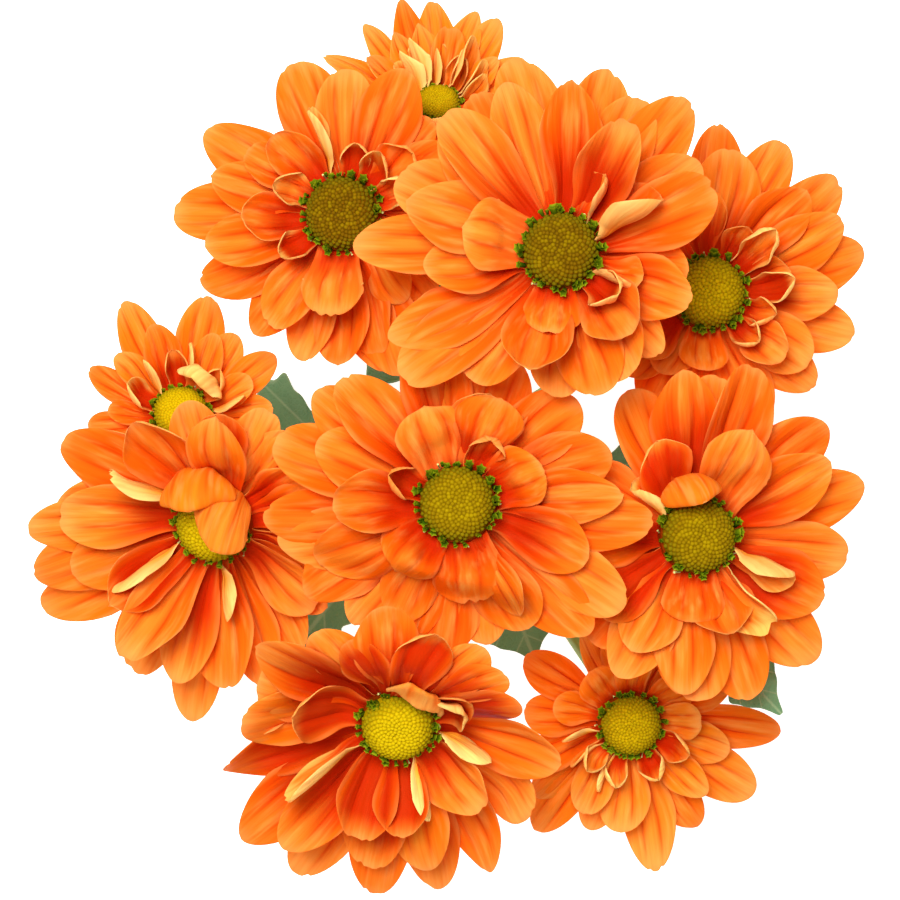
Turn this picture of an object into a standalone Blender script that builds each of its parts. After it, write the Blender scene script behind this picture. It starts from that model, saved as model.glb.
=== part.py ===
"""A spray of orange daisy-form chrysanthemum, cut short below its branches and set down face up.

Ten flower heads stand on the stalks of one branching stem. Each head is a green button of disc
florets in a bloom of ray petals, and the stem carries lobed leaves that droop to the surface it
rests on. Metres, +Z up. The origin is on the resting surface, below the middle of the spray.
"""

import math
from dataclasses import dataclass, field

import bmesh
import bpy
import numpy as np
from mathutils import Matrix

MM = 0.001
UP = np.array([0.0, 0.0, 1.0])

# Driving dimensions
SEEN_FROM = 770.0 * MM
SEEN_PLANE = 100.0 * MM
BLADE_THICKNESS = 1.0 * MM
SEAT_GAP = 0.3 * MM
SPRAY_SHIFT = np.array([0.23, -0.87, 0.0]) * MM

BUTTON_RADIUS = 7.9 * MM
BUTTON_HEIGHT = 3.6 * MM
RECEPTACLE_RADIUS = 10.4 * MM
RECEPTACLE_DEPTH = 6.2 * MM
CALYX_DEPTH = 6.0 * MM
STALK_RADIUS = 1.3 * MM
STEM_RADIUS = 2.4 * MM
PETIOLE_RADIUS = 0.9 * MM
TRUNK_STRAIGHT_TO = 30.0 * MM

# How petals are drawn and laid over one another
MEAN_BEND = 0.4  # share of its bend by which a petal's mean slope differs from its lift
FULL_WIDTH_FROM = 0.66  # share of the longest length from which a petal is full width
LAYER_LIFT = 2.0  # degrees up and down by which petals alternate round the head
SHORTEST_REACH = 18.0  # mm
USUAL_CLIMB = 5.0  # degrees
LAYER_GAP = 2.0 * MM


@dataclass
class Style:
    """How the petals of one kind grow: sizes in metres, angles in degrees."""

    width: float
    root_radius: float
    root_height: float
    lift: float
    bend: float
    curl_root: float
    curl_tip: float
    roll: float
    least: float
    most: float


STYLES = {
    "outer": Style(14.2 * MM, 7.2 * MM, -4.9 * MM, 4, -8, 30, 14, 12, 12 * MM, 36 * MM),
    "middle": Style(14.4 * MM, 7.8 * MM, -3.9 * MM, 19, -12, 36, 18, 12, 9 * MM, 31 * MM),
    "spoon": Style(14.0 * MM, 8.3 * MM, -3.1 * MM, 34, 14, 56, 58, 4, 8 * MM, 24 * MM),
    "inner": Style(13.0 * MM, 9.0 * MM, -2.6 * MM, 52, -46, 40, -18, 6, 8 * MM, 19 * MM),
    "hood": Style(7.5 * MM, 9.9 * MM, -3.4 * MM, 82, 66, 15, 55, 0, 5 * MM, 12 * MM),
    "over": Style(11.0 * MM, 9.9 * MM, -3.4 * MM, 78, 98, 20, 42, 0, 14 * MM, 20 * MM),
    "quill": Style(8.0 * MM, 9.0 * MM, -2.6 * MM, 36, -14, 60, 78, 58, 8 * MM, 20 * MM),
}


@dataclass
class Head:
    """One flower head: where the middle of its disc is, in mm, which way and how far it leans,
    how large its disc is and how wide its petals are, as shares, and by how many degrees more
    than in a full-blown head its petals lift. Its petals are pairs of the direction in which a
    tip is seen from SEEN_FROM above and its distance there from the middle of the disc, in
    degrees and mm on SEEN_PLANE. Those that fold over the disc have the direction of their root
    and their own length."""

    name: str
    place: tuple
    lean_to: float
    lean: float
    forks_at: float
    seed: int
    disc: float
    broad: float
    young: float
    petals: dict = field(default_factory=dict)


# From the uppermost down: each head's petals lie over those of the heads after it
HEADS = [
    Head("upper_mid", (20.0, 36.0, 104), 130, 10, 58, 41, 1, 1, 0, {
        "outer": [(110, 32), (99, 36), (72, 33.5), (48, 36), (176, 38), (214, 37), (236, 30),
                  (270, 32), (28, 30), (312, 27), (352, 24), (135, 31)],
        "middle": [(83, 30.5), (131, 32), (161, 29), (18, 30), (337, 26), (285, 28), (191, 25)],
        "spoon": [(60, 25), (255, 24)],
        "inner": [(167, 18.5), (262, 15)],
        "quill": [(25, 21), (332, 14), (54, 16)],
    }),
    Head("low", (-9.7, -51.3, 82), 265, 26, 34, 21, 1, 1, 0, {
        "outer": [(171, 31), (190, 33), (213, 34), (237, 31), (262, 30), (287, 29), (307, 31),
                  (334, 33), (20, 24), (50, 24), (125, 25), (92, 22)],
        "middle": [(148, 31), (228, 29), (280, 26), (353, 31), (112, 20), (256, 25)],
        "spoon": [(168, 20), (75, 20), (274, 19), (317, 20), (246, 20), (22, 15)],
        "over": [(75, 14)],
        "quill": [(212, 23), (293, 17), (345, 18)],
    }),
    Head("centre", (1.3, -9.8, 100), 90, 3, 62, 21, 1, 1, 0, {
        "outer": [(141, 33), (163, 36), (188, 37), (209, 37), (248, 29), (284, 27), (229, 31),
                  (313, 35), (330, 36), (351, 36), (44, 30), (22, 30), (70, 29)],
        "middle": [(132, 31), (155, 28), (99, 30), (240, 25), (6, 31), (341, 26), (208, 30)],
        "spoon": [(70, 25), (178, 22)],
        "inner": [(106, 19.5), (66, 15.5), (24, 17.5), (226, 17.5), (279, 19.5)],
        "hood": [(160, 9)],
        "quill": [(299, 26)],
    }),
    Head("right", (45.5, -15.7, 94), 0, 8, 48, 26, 1, 1, 0, {
        "outer": [(119, 30), (45, 31), (16, 31), (352, 27), (309, 31), (287, 31), (241, 30),
                  (202, 26), (154, 27), (84, 31)],
        "middle": [(98, 31), (71, 33), (28, 27), (329, 25), (238, 25), (260, 29), (180, 22)],
        "spoon": [(118, 20), (289, 19)],
        "inner": [(60, 22), (265, 16)],
        "hood": [(100, 10)],
        "quill": [(338, 18), (303, 20), (147, 12)],
    }),
    Head("left", (-44.0, -13.9, 86), 225, 22, 42, 20, 1, 1, 0, {
        "outer": [(146, 33), (163, 29), (178, 33), (208, 34), (242, 29), (266, 35), (290, 30),
                  (311, 28), (330, 27), (0, 24), (45, 24)],
        "middle": [(85, 22), (30, 22), (173, 27), (196, 26), (277, 29), (256, 28)],
        "spoon": [(128, 24), (219, 23), (238, 27)],
        "over": [(58, 19)],
        "hood": [(108, 12)],
        "quill": [(150, 20), (211, 20), (280, 17)],
    }),
    Head("upper_left", (-20.1, 44.2, 82), 180, 12, 38, 21, 1, 0.94, 0, {
        "outer": [(104, 28), (147, 28), (181, 30), (212, 29), (258, 28), (285, 27), (30, 24),
                  (320, 24), (235, 27), (66, 28)],
        "middle": [(88, 26), (63, 29), (143, 20), (166, 24), (198, 25), (238, 24), (305, 20)],
        "spoon": [(128, 18), (38, 19), (186, 18)],
        "inner": [(262, 19)],
        "hood": [(155, 8), (215, 7), (50, 9), (76, 8)],
        "quill": [(106, 19)],
    }),
    Head("upper_right", (48.5, 29.5, 78), 45, 10, 36, 38, 1, 0.92, 0, {
        "outer": [(88, 30), (67, 30), (40, 31), (13, 29), (341, 27), (314, 26), (288, 26),
                  (258, 26), (228, 22), (120, 24), (195, 20), (155, 20)],
        "middle": [(80, 26), (50, 25), (27, 27), (0, 23), (325, 22), (222, 18)],
        "spoon": [(14, 15), (318, 18), (60, 13)],
        "inner": [(262, 13)],
        "hood": [(338, 7)],
    }),
    Head("lower_right", (34.6, -52.6, 63), 300, 13, 28, 72, 0.86, 0.8, 6, {
        "outer": [(147, 24), (174, 20), (223, 26), (248, 20), (283, 26), (301, 22), (331, 25),
                  (2, 27), (116, 20), (52, 19), (198, 22)],
        "middle": [(163, 15), (345, 18), (266, 19), (24, 20), (236, 18), (316, 18)],
        "inner": [(130, 13), (38, 13)],
        "hood": [(222, 6), (252, 7), (300, 8), (335, 8)],
        "quill": [(190, 12)],
    }),
    Head("left_small", (-51.6, 7.0, 64), 90, 24, 30, 47, 0.76, 0.76, 14, {
        "outer": [(119, 22), (76, 21), (50, 17), (27, 20), (2, 17), (160, 18), (190, 17),
                  (215, 18), (325, 16), (262, 16)],
        "middle": [(106, 16), (62, 15), (138, 15), (180, 13), (20, 14)],
        "hood": [(160, 7), (95, 6), (40, 7)],
        "quill": [(78, 12), (12, 12)],
    }),
    Head("top", (-2.3, 65.9, 66), 90, 38, 32, 33, 0.62, 0.66, 24, {
        "outer": [(160, 22), (136, 19), (112, 19), (90, 18), (52, 18), (185, 18), (25, 17),
                  (70, 17), (215, 14), (340, 16), (250, 12), (300, 14)],
        "middle": [(80, 13), (122, 14), (150, 15), (35, 13), (101, 14)],
        "hood": [(140, 5), (60, 5)],
        "quill": [(114, 12), (62, 10)],
    }),
]


def lean_matrix(lean_to, lean):
    """Turns +Z by lean degrees towards the compass direction lean_to."""
    turn = Matrix.Rotation(math.radians(lean_to), 3, "Z")
    tip = Matrix.Rotation(math.radians(lean), 3, "Y")
    return np.array(turn @ tip @ turn.inverted())


def head_place(head):
    return np.array(head.place) * MM + SPRAY_SHIFT


def petal_outline(u, claw=0.24, widest=0.6):
    """Half width along a petal, as a share: a narrow claw, widest past the middle, round tip."""
    rise = claw + (1 - claw) * np.sin(np.pi / 2 * np.clip(u / widest, 0, 1)) ** 1.5
    fall = np.sqrt(1 - np.clip((u - widest) / (1 - widest), 0, 1) ** 2.2)
    return np.where(u < widest, rise, fall)


@dataclass
class Petal:
    style: Style
    azimuth: float
    length: float
    width: float
    lift: float
    roll: float
    sway: float


def aimed(head, style, climb, azimuth, reach):
    """The direction in the head and the length of a petal whose tip is seen at this place."""
    lean = lean_matrix(head.lean_to, head.lean)
    directions = np.arange(0, 360, 0.5)
    ahead = np.radians(directions)
    out = np.stack([np.cos(ahead), np.sin(ahead), np.zeros(len(ahead))], axis=-1)
    root = (out * style.root_radius + UP * style.root_height) * head.disc
    place = np.array(head.place) * MM
    root = root @ lean.T + place
    grows = (out * math.cos(climb) + UP * math.sin(climb)) @ lean.T
    disc = place + lean @ UP * BUTTON_HEIGHT * head.disc
    seen = disc[:2] * (SEEN_FROM - SEEN_PLANE) / (SEEN_FROM - disc[2])
    seen = seen + reach * np.array([math.cos(azimuth), math.sin(azimuth)])
    line = seen / (SEEN_FROM - SEEN_PLANE)
    gap = line * (SEEN_FROM - root[:, 2:]) - root[:, :2]
    step = grows[:, :2] + line * grows[:, 2:]
    length = np.sum(gap * step, axis=-1) / np.sum(step**2, axis=-1)
    miss = np.linalg.norm(gap - length[:, None] * step, axis=-1) + (length < 0)
    best = np.argmin(miss)
    return directions[best], length[best]


def petals_of(head):
    """The head's petals: each one's own direction and length are worked out from where its tip is
    seen, and a seeded draw varies its lift, width, roll and sway."""
    draw = np.random.default_rng(head.seed)
    for kind, tips in head.petals.items():
        style = STYLES[kind]
        folds = kind in ("hood", "over")
        for number, (azimuth, reach) in enumerate(sorted(tips)):
            lift = style.lift + LAYER_LIFT * (-1) ** number + draw.uniform(-2, 2)
            lift += 0 if folds else head.young
            length = reach * MM
            climb = math.radians(lift + MEAN_BEND * style.bend)
            if not folds:
                azimuth, length = aimed(head, style, climb, math.radians(azimuth), length)
            length = min(max(length, style.least), style.most)
            full = (length / (FULL_WIDTH_FROM * style.most)) ** 0.6
            width = style.width * head.broad * min(1.0, full)
            yield Petal(
                style,
                azimuth,
                length,
                width * draw.uniform(0.94, 1.06),
                lift,
                style.roll + draw.uniform(-4, 4),
                draw.uniform(-0.08, 0.08),
            )


def petal_sheet(head, petal, u, v):
    """Points and normals of a petal's middle surface in its head's frame. Its spine is an arc that
    starts at its lift and bends by its bend, and its blade is rolled round the spine."""
    style = petal.style
    steps = np.linspace(0, 1, 33)
    climb = np.radians(petal.lift + style.bend * steps**1.4)
    mean = (climb[1:] + climb[:-1]) / 2
    run = np.append(0, np.cumsum(np.cos(mean))) * petal.length / 32
    rise = np.append(0, np.cumsum(np.sin(mean))) * petal.length / 32
    x = style.root_radius * head.disc + np.interp(u, steps, run)
    z = style.root_height * head.disc + np.interp(u, steps, rise)
    c = np.interp(u, steps, climb)
    half = petal.width / 2 * petal_outline(u)
    curl = np.radians(style.curl_root + (style.curl_tip - style.curl_root) * u)
    curl = np.where(np.abs(curl) < 0.02, 0.02, curl)[:, None]
    bow = curl * v[None, :]
    y = half[:, None] * np.sin(bow) / curl
    h = half[:, None] * (1 - np.cos(bow)) / curl
    roll = math.radians(petal.roll) * np.minimum(1, 2.5 * u)[:, None]
    cos, sin = np.cos(roll), np.sin(roll)
    y, h = y * cos - h * sin, y * sin + h * cos
    ny, nh = -np.sin(bow + roll), np.cos(bow + roll)
    y = y + petal.sway * petal.length * (u**2)[:, None]
    up_x, up_z = -np.sin(c)[:, None], np.cos(c)[:, None]
    points = np.stack([x[:, None] + h * up_x, y, z[:, None] + h * up_z], axis=-1)
    normals = np.stack([nh * up_x, ny, nh * up_z], axis=-1)
    turn = np.array(Matrix.Rotation(math.radians(petal.azimuth), 3, "Z"))
    return points @ turn.T, normals @ turn.T


@dataclass
class Divide:
    """A plane between the petals of two heads, seen from one of them: a point on it, the normal
    to that head's side, and where the other head's petals end."""

    middle: np.ndarray
    normal: np.ndarray
    other: np.ndarray
    away: np.ndarray
    reach: float


def reach_towards(head, azimuth, spread=35):
    """How far the head's petals reach in a direction, seen from above."""
    reaches = [SHORTEST_REACH]
    for tips in head.petals.values():
        reaches += [r for az, r in tips if abs((az - azimuth + 180) % 360 - 180) < spread]
    return max(reaches) * MM


def petals_slope(head, azimuth):
    """The slope at which the head's petals leave its middle in a direction."""
    level = -head.lean * math.cos(math.radians(azimuth - head.lean_to))
    return math.tan(math.radians(level + USUAL_CLIMB + head.young))


def dividing_planes(head):
    """The planes that keep this head's petals clear of its neighbours'."""
    rank = HEADS.index(head)
    for other in HEADS:
        order = rank - HEADS.index(other)
        if not order:
            continue
        here, there = head_place(head), head_place(other)
        apart = np.hypot(*(here - there)[:2])
        away = (here - there)[:2] / apart
        azimuth = math.degrees(math.atan2(away[1], away[0]))
        mine, theirs = reach_towards(head, azimuth + 180), reach_towards(other, azimuth)
        overlap = mine + theirs - apart
        if overlap < -LAYER_GAP - MM:
            continue
        my_slope, their_slope = petals_slope(head, azimuth + 180), petals_slope(other, azimuth)
        along = (apart - mine + theirs) / 2
        height = here[2] + (apart - along) * my_slope + there[2] + along * their_slope
        tips = here[2] + mine * my_slope - there[2] - theirs * their_slope
        side = -1 if order > 0 else 1
        slope = min(max((side * tips - LAYER_GAP) / max(overlap, 4 * LAYER_GAP), 0.1), 1.0)
        normal = np.append(away * slope, side) / math.hypot(slope, side)
        middle = np.append(there[:2] + away * along, height / 2 - LAYER_GAP - MM)
        yield Divide(middle, normal, there, away, theirs + LAYER_GAP)


def bent_clear(head, points, margin=0.9 * MM, ease=0.8 * MM):
    """Presses points that would pass a dividing plane flat against it, keeping their order."""
    planes = list(dividing_planes(head))
    for _ in range(3):
        for plane in planes:
            depth = (points - plane.middle) @ plane.normal - margin
            pressed = ease * np.logaddexp(0, depth / ease)
            into = plane.reach - (points - plane.other)[..., :2] @ plane.away
            share = np.clip(into / (3 * MM), 0, 1)
            points = points + ((pressed - depth) * share)[..., None] * plane.normal
    return points


def blade_mesh(name, sheet, normals, tip, thickness):
    """A closed blade, thickest along its middle and sharp at its edge, split alike on both faces."""
    rows, cross = sheet.shape[:2]
    v = np.linspace(-1, 1, cross)
    half = thickness / 2 * np.sqrt(1 - v**2)[None, :, None]
    top, bottom = sheet + normals * half, sheet - normals * half
    mesh = bmesh.new()
    upper = [[mesh.verts.new(p) for p in row] for row in top]
    lower = [
        [upper[i][j] if j in (0, cross - 1) else mesh.verts.new(bottom[i][j]) for j in range(cross)]
        for i in range(rows)
    ]
    end = mesh.verts.new(tip)
    for grid in (upper, lower):
        for i in range(rows - 1):
            for j in range(cross - 1):
                a, b = grid[i][j], grid[i][j + 1]
                d, c = grid[i + 1][j], grid[i + 1][j + 1]
                if j < cross // 2:
                    mesh.faces.new((a, b, c))
                    mesh.faces.new((a, c, d))
                else:
                    mesh.faces.new((a, b, d))
                    mesh.faces.new((b, c, d))
        for j in range(cross - 1):
            mesh.faces.new((grid[-1][j], grid[-1][j + 1], end))
    for j in range(cross - 1):
        corners = [upper[0][j], upper[0][j + 1], lower[0][j + 1], lower[0][j]]
        mesh.faces.new(list(dict.fromkeys(corners)))
    bmesh.ops.recalc_face_normals(mesh, faces=mesh.faces)
    data = bpy.data.meshes.new(name)
    mesh.to_mesh(data)
    mesh.free()
    return bpy.data.objects.new(name, data)


def petal_blade(head, petal, number):
    short = petal.length < 11 * MM
    u = np.array([0, 0.42, 0.82, 1.0] if short else [0, 0.32, 0.62, 0.88, 1.0])
    v = np.array([-1.0, 0.0, 1.0])
    points, normals = petal_sheet(head, petal, u, v)
    lean = lean_matrix(head.lean_to, head.lean)
    points = points @ lean.T + head_place(head)
    points = bent_clear(head, points)
    normals = normals @ lean.T
    return blade_mesh(f"petal_{number}", points[:-1], normals[:-1], points[-1][1], BLADE_THICKNESS)


def material(name, colour, roughness):
    made = bpy.data.materials.new(name)
    made.use_nodes = True
    shader = made.node_tree.nodes["Principled BSDF"]
    shader.inputs["Base Color"].default_value = (*colour, 1)
    shader.inputs["Roughness"].default_value = roughness
    shader.inputs["Metallic"].default_value = 0
    return made


def turned(name, profile, segments):
    """A closed turned body from a profile of (radius, height), top to bottom, on the axis at
    both ends."""
    data = bpy.data.meshes.new(name)
    data.from_pydata(
        [(r, 0, z) for r, z in profile], [(i, i + 1) for i in range(len(profile) - 1)], []
    )
    body = bpy.data.objects.new(name, data)
    screw = body.modifiers.new("Turn", "SCREW")
    screw.steps = screw.render_steps = segments
    screw.use_merge_vertices = True
    screw.merge_threshold = 0.00001
    return body


def head_matrix(head):
    lean = Matrix(lean_matrix(head.lean_to, head.lean).tolist()).to_4x4()
    return Matrix.Translation(head_place(head)) @ lean @ Matrix.Scale(head.disc, 4)


def link(collection, body, shade=None):
    collection.objects.link(body)
    if shade:
        body.data.materials.clear()
        body.data.materials.append(shade)
    return body


def baked(body):
    """Replaces the object's mesh by its evaluated one, and clears its modifiers."""
    bpy.context.view_layer.update()
    graph = bpy.context.evaluated_depsgraph_get()
    data = bpy.data.meshes.new_from_object(body.evaluated_get(graph))
    body.modifiers.clear()
    body.data = data
    return body


def outer_shell(body):
    """Keeps the largest connected shell: sealed hollows are filled and scraps are dropped."""
    mesh = bmesh.new()
    mesh.from_mesh(body.data)
    left = set(mesh.verts)
    shells = []
    while left:
        shell, edge = set(), [left.pop()]
        while edge:
            vert = edge.pop()
            shell.add(vert)
            near = {side.other_vert(vert) for side in vert.link_edges} & left
            left -= near
            edge.extend(near)
        shells.append(shell)
    largest = max(shells, key=len)
    scraps = [vert for vert in mesh.verts if vert not in largest]
    bmesh.ops.delete(mesh, geom=scraps, context="VERTS")
    mesh.to_mesh(body.data)
    mesh.free()
    return body


def joined(body, others, name):
    """Joins the other objects to body by one Boolean union, and removes them."""
    group = bpy.data.collections.new(name)
    bpy.context.scene.collection.children.link(group)
    for other in others:
        group.objects.link(other)
    union = body.modifiers.new("Join", "BOOLEAN")
    union.operation = "UNION"
    union.operand_type = "COLLECTION"
    union.collection = group
    union.solver = "MANIFOLD"
    baked(body)
    for other in others:
        bpy.data.objects.remove(other)
    bpy.data.collections.remove(group)
    return outer_shell(body)


def receptacle(name):
    """The pad that a head's petals root in."""
    rim = RECEPTACLE_RADIUS
    profile = [
        (0, 0),
        (rim - 2.4 * MM, 0),
        (rim, -2.8 * MM),
        (rim - 1.4 * MM, -RECEPTACLE_DEPTH),
        (0, -RECEPTACLE_DEPTH),
    ]
    return turned(name, profile, 10)


def bloom(collection, head, shade):
    body = link(collection, receptacle(f"{head.name}_petals"), shade)
    body.matrix_world = head_matrix(head)
    baked(body)
    blades = [petal_blade(head, petal, n) for n, petal in enumerate(petals_of(head))]
    return joined(body, blades, f"{head.name}_blades")


def button(collection, head, shade, around=12):
    """The dome of disc florets: a toothed fringe, and knobs raised in turn round each ring."""
    rings = [(1.02, 0.0, 0.05), (0.96, 0.3, 0.03), (0.86, 0.62, 0.03), (0.52, 0.94, 0.03)]
    gap = SEAT_GAP / head.disc
    mesh = bmesh.new()
    loops = []
    for i, (share, rise, knob) in enumerate(rings):
        loop = []
        for k in range(around):
            angle = 2 * math.pi * (k + i / 2) / around
            radius = BUTTON_RADIUS * (share + knob * (-1) ** k)
            height = gap + BUTTON_HEIGHT * (rise + (0.04 * (-1) ** k if i else 0))
            loop.append(
                mesh.verts.new((radius * math.cos(angle), radius * math.sin(angle), height))
            )
        loops.append(loop)
    crown = mesh.verts.new((0, 0, gap + BUTTON_HEIGHT * 0.9))
    for low, high in zip(loops, loops[1:]):
        for k in range(around):
            a, b = low[k], low[(k + 1) % around]
            c, d = high[(k + 1) % around], high[k]
            mesh.faces.new((a, b, d))
            mesh.faces.new((b, c, d))
    for k in range(around):
        mesh.faces.new((loops[-1][k], loops[-1][(k + 1) % around], crown))
    mesh.faces.new(loops[0])
    bmesh.ops.recalc_face_normals(mesh, faces=mesh.faces)
    data = bpy.data.meshes.new(f"{head.name}_disc")
    mesh.to_mesh(data)
    mesh.free()
    body = link(collection, bpy.data.objects.new(f"{head.name}_disc", data), shade)
    body.matrix_world = head_matrix(head)
    return body


def tube(name, points, radii, sides=1):
    """A tapering round tube along points, as a mesh with its caps welded."""
    curve = bpy.data.curves.new(name, "CURVE")
    curve.dimensions = "3D"
    curve.bevel_depth = 1.0
    curve.bevel_resolution = sides
    curve.use_fill_caps = True
    spline = curve.splines.new("POLY")
    spline.points.add(len(points) - 1)
    for knot, place, radius in zip(spline.points, points, radii):
        knot.co = (*place, 1)
        knot.radius = radius
    guide = bpy.data.objects.new(name, curve)
    bpy.context.scene.collection.objects.link(guide)
    bpy.context.view_layer.update()
    graph = bpy.context.evaluated_depsgraph_get()
    data = bpy.data.meshes.new_from_object(guide.evaluated_get(graph))
    bpy.data.objects.remove(guide)
    mesh = bmesh.new()
    mesh.from_mesh(data)
    bmesh.ops.remove_doubles(mesh, verts=mesh.verts, dist=0.00001)
    bmesh.ops.recalc_face_normals(mesh, faces=mesh.faces)
    mesh.to_mesh(data)
    mesh.free()
    return bpy.data.objects.new(name, data)


def stalk_line(head, count=6):
    """A stalk's route: out of the stem and up, then straight into the underside of its head."""
    into = lean_matrix(head.lean_to, head.lean) @ UP
    depth = (RECEPTACLE_DEPTH + CALYX_DEPTH - 2 * MM) * head.disc + SEAT_GAP
    end = head_place(head) - into * depth
    start = SPRAY_SHIFT + UP * head.forks_at * MM
    side = end - start
    side[2] = 0
    rise = end[2] - start[2]
    first = start + side * 0.3 + UP * rise * 0.3
    second = end - into * max(10 * MM, rise * 0.35)
    t = np.linspace(0, 1, count)[:, None]
    return (
        (1 - t) ** 3 * start + 3 * t * (1 - t) ** 2 * first + 3 * t**2 * (1 - t) * second + t**3 * end
    )


def calyx(head):
    """The green cup of bracts under a head."""
    top = -RECEPTACLE_DEPTH - SEAT_GAP / head.disc
    profile = [
        (0, top),
        (6.9 * MM, top),
        (5.4 * MM, top - 3.2 * MM),
        (STALK_RADIUS / head.disc + 0.5 * MM, top - CALYX_DEPTH),
        (0, top - CALYX_DEPTH),
    ]
    cup = turned(f"{head.name}_calyx", profile, 8)
    cup.matrix_world = head_matrix(head)
    return cup


def stem(collection, shade):
    """The main stem with a cut, flat foot, its stalks and the cup under each head."""
    crown = max(HEADS, key=lambda head: head.forks_at)
    line = stalk_line(crown, 5)
    trunk = np.vstack([SPRAY_SHIFT, SPRAY_SHIFT + UP * TRUNK_STRAIGHT_TO, line])
    radii = np.linspace(STEM_RADIUS, STALK_RADIUS, len(trunk))
    body = link(collection, tube("stem", trunk, radii, 2), shade)
    stalks = [
        tube(f"{head.name}_stalk", stalk_line(head), np.linspace(1.15, 1.0, 6) * STALK_RADIUS)
        for head in HEADS
        if head is not crown
    ]
    cups = [calyx(head) for head in HEADS]
    return joined(body, stalks + cups, "stem_pieces")


@dataclass
class Leaf:
    """A leaf: the stalk that it grows on and how high up, how far from that stalk's axis it
    starts, its compass direction, the length of its own stalk and of its blade, its width, the
    height at which it ends and the share of its length at which it gets there, in degrees and
    mm."""

    name: str
    grows_on: str
    height: float
    aside: float
    azimuth: float
    petiole: float
    blade: float
    width: float
    ends_at: float
    settles: float


RESTING = BLADE_THICKNESS / MM / 2
BESIDE_STEM = (STEM_RADIUS + SEAT_GAP) / MM
LEAVES = [
    Leaf("leaf_1", "stem", 21, BESIDE_STEM, 75, 16, 44, 25, RESTING, 0.62),
    Leaf("leaf_2", "stem", 20, BESIDE_STEM, 232, 16, 40, 24, RESTING, 0.62),
    Leaf("leaf_3", "stem", 16, BESIDE_STEM, 342, 15, 42, 25, RESTING, 0.62),
    Leaf("leaf_4", "stem", 18, BESIDE_STEM, 175, 15, 46, 25, RESTING, 0.62),
    Leaf("leaf_5", "stem", 13, BESIDE_STEM, 292, 14, 31, 22, RESTING, 0.62),
    Leaf("leaf_6", "stem", 14, BESIDE_STEM, 122, 15, 38, 23, RESTING, 0.62),
    Leaf("bract_1", "right", 64, 3.1, 313, 20, 33, 15, 76, 1.0),
    Leaf("bract_2", "upper_mid", 72, 2.1, 116, 7, 26, 14, 68, 1.0),
]


def leaf_outline(s):
    """Half width along a leaf blade, as a share: two pairs of rounded lobes and a blunt end."""
    body = np.sin(np.pi * np.clip(s, 0, 1) ** 0.8) ** 0.62
    return np.maximum(body * (0.74 + 0.26 * np.cos(2 * np.pi * (2.75 * s - 0.12))), 0.0)


def stalk_place(name, height):
    """The point in mm at which a stalk reaches a height."""
    if name == "stem":
        return SPRAY_SHIFT / MM + UP * height
    line = stalk_line(next(head for head in HEADS if head.name == name)) / MM
    return np.array([np.interp(height, line[:, 2], line[:, axis]) for axis in range(3)])


def leaf(collection, row, shade):
    """A lobed blade on its own stalk, that arches over from where it grows to where it ends."""
    root = stalk_place(row.grows_on, row.height)
    total = row.petiole + row.blade
    lobes = 13 if row.grows_on == "stem" else 9
    share = row.petiole / total
    stations = np.array([0, share / 2, share, *np.linspace(share, 0.97, lobes + 1)[1:]])
    fall = 1 - np.clip(stations / row.settles, 0, 1) ** 1.6
    height = row.ends_at + (row.height - row.ends_at) * fall**1.2
    half = leaf_outline((stations * total - row.petiole) / row.blade) * row.width / 2
    half = np.maximum(half, PETIOLE_RADIUS / MM)
    y = half[:, None] * np.array([-1.0, 0.0, 1.0])
    z = height[:, None] + np.abs(y) * 0.16 * (1 - stations)[:, None]
    x = np.broadcast_to((row.aside + stations * total)[:, None], y.shape)
    points = np.stack([x, y, z], axis=-1) * MM
    tip = np.array([row.aside + total, 0, row.ends_at]) * MM
    turn = np.array(Matrix.Rotation(math.radians(row.azimuth), 3, "Z"))
    axis = root * (1, 1, 0) * MM
    normals = np.broadcast_to(UP, points.shape)
    points, tip = points @ turn.T + axis, turn @ tip + axis
    return link(collection, blade_mesh(row.name, points, normals, tip, BLADE_THICKNESS), shade)


def main():
    for old in list(bpy.data.objects):
        bpy.data.objects.remove(old)
    spray = bpy.data.collections.new("chrysanthemum_spray")
    bpy.context.scene.collection.children.link(spray)
    orange = material("petal_orange", (0.85, 0.2, 0.03), 0.55)
    olive = material("disc_green", (0.3, 0.28, 0.02), 0.6)
    green = material("stem_green", (0.16, 0.28, 0.08), 0.55)
    leafy = material("leaf_green", (0.06, 0.14, 0.05), 0.6)
    for head in HEADS:
        bloom(spray, head, orange)
        button(spray, head, olive)
    stem(spray, green)
    for row in LEAVES:
        leaf(spray, row, leafy)


main()
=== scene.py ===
"""The finished look of a cut spray of orange daisy-form chrysanthemum, built round its solids.

Ten heads of thin, grooved ray petals, each round a button of packed disc florets with a green
fringe, on ribbed stalks with scaly cups and lobed, veined leaves. Every surface is worked out
from a formula on a grid, with the same tables and rules of growth as the solids. Metres, +Z up.
"""
import math
from dataclasses import dataclass

import bpy
import numpy as np
from mathutils import Matrix, Vector


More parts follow.
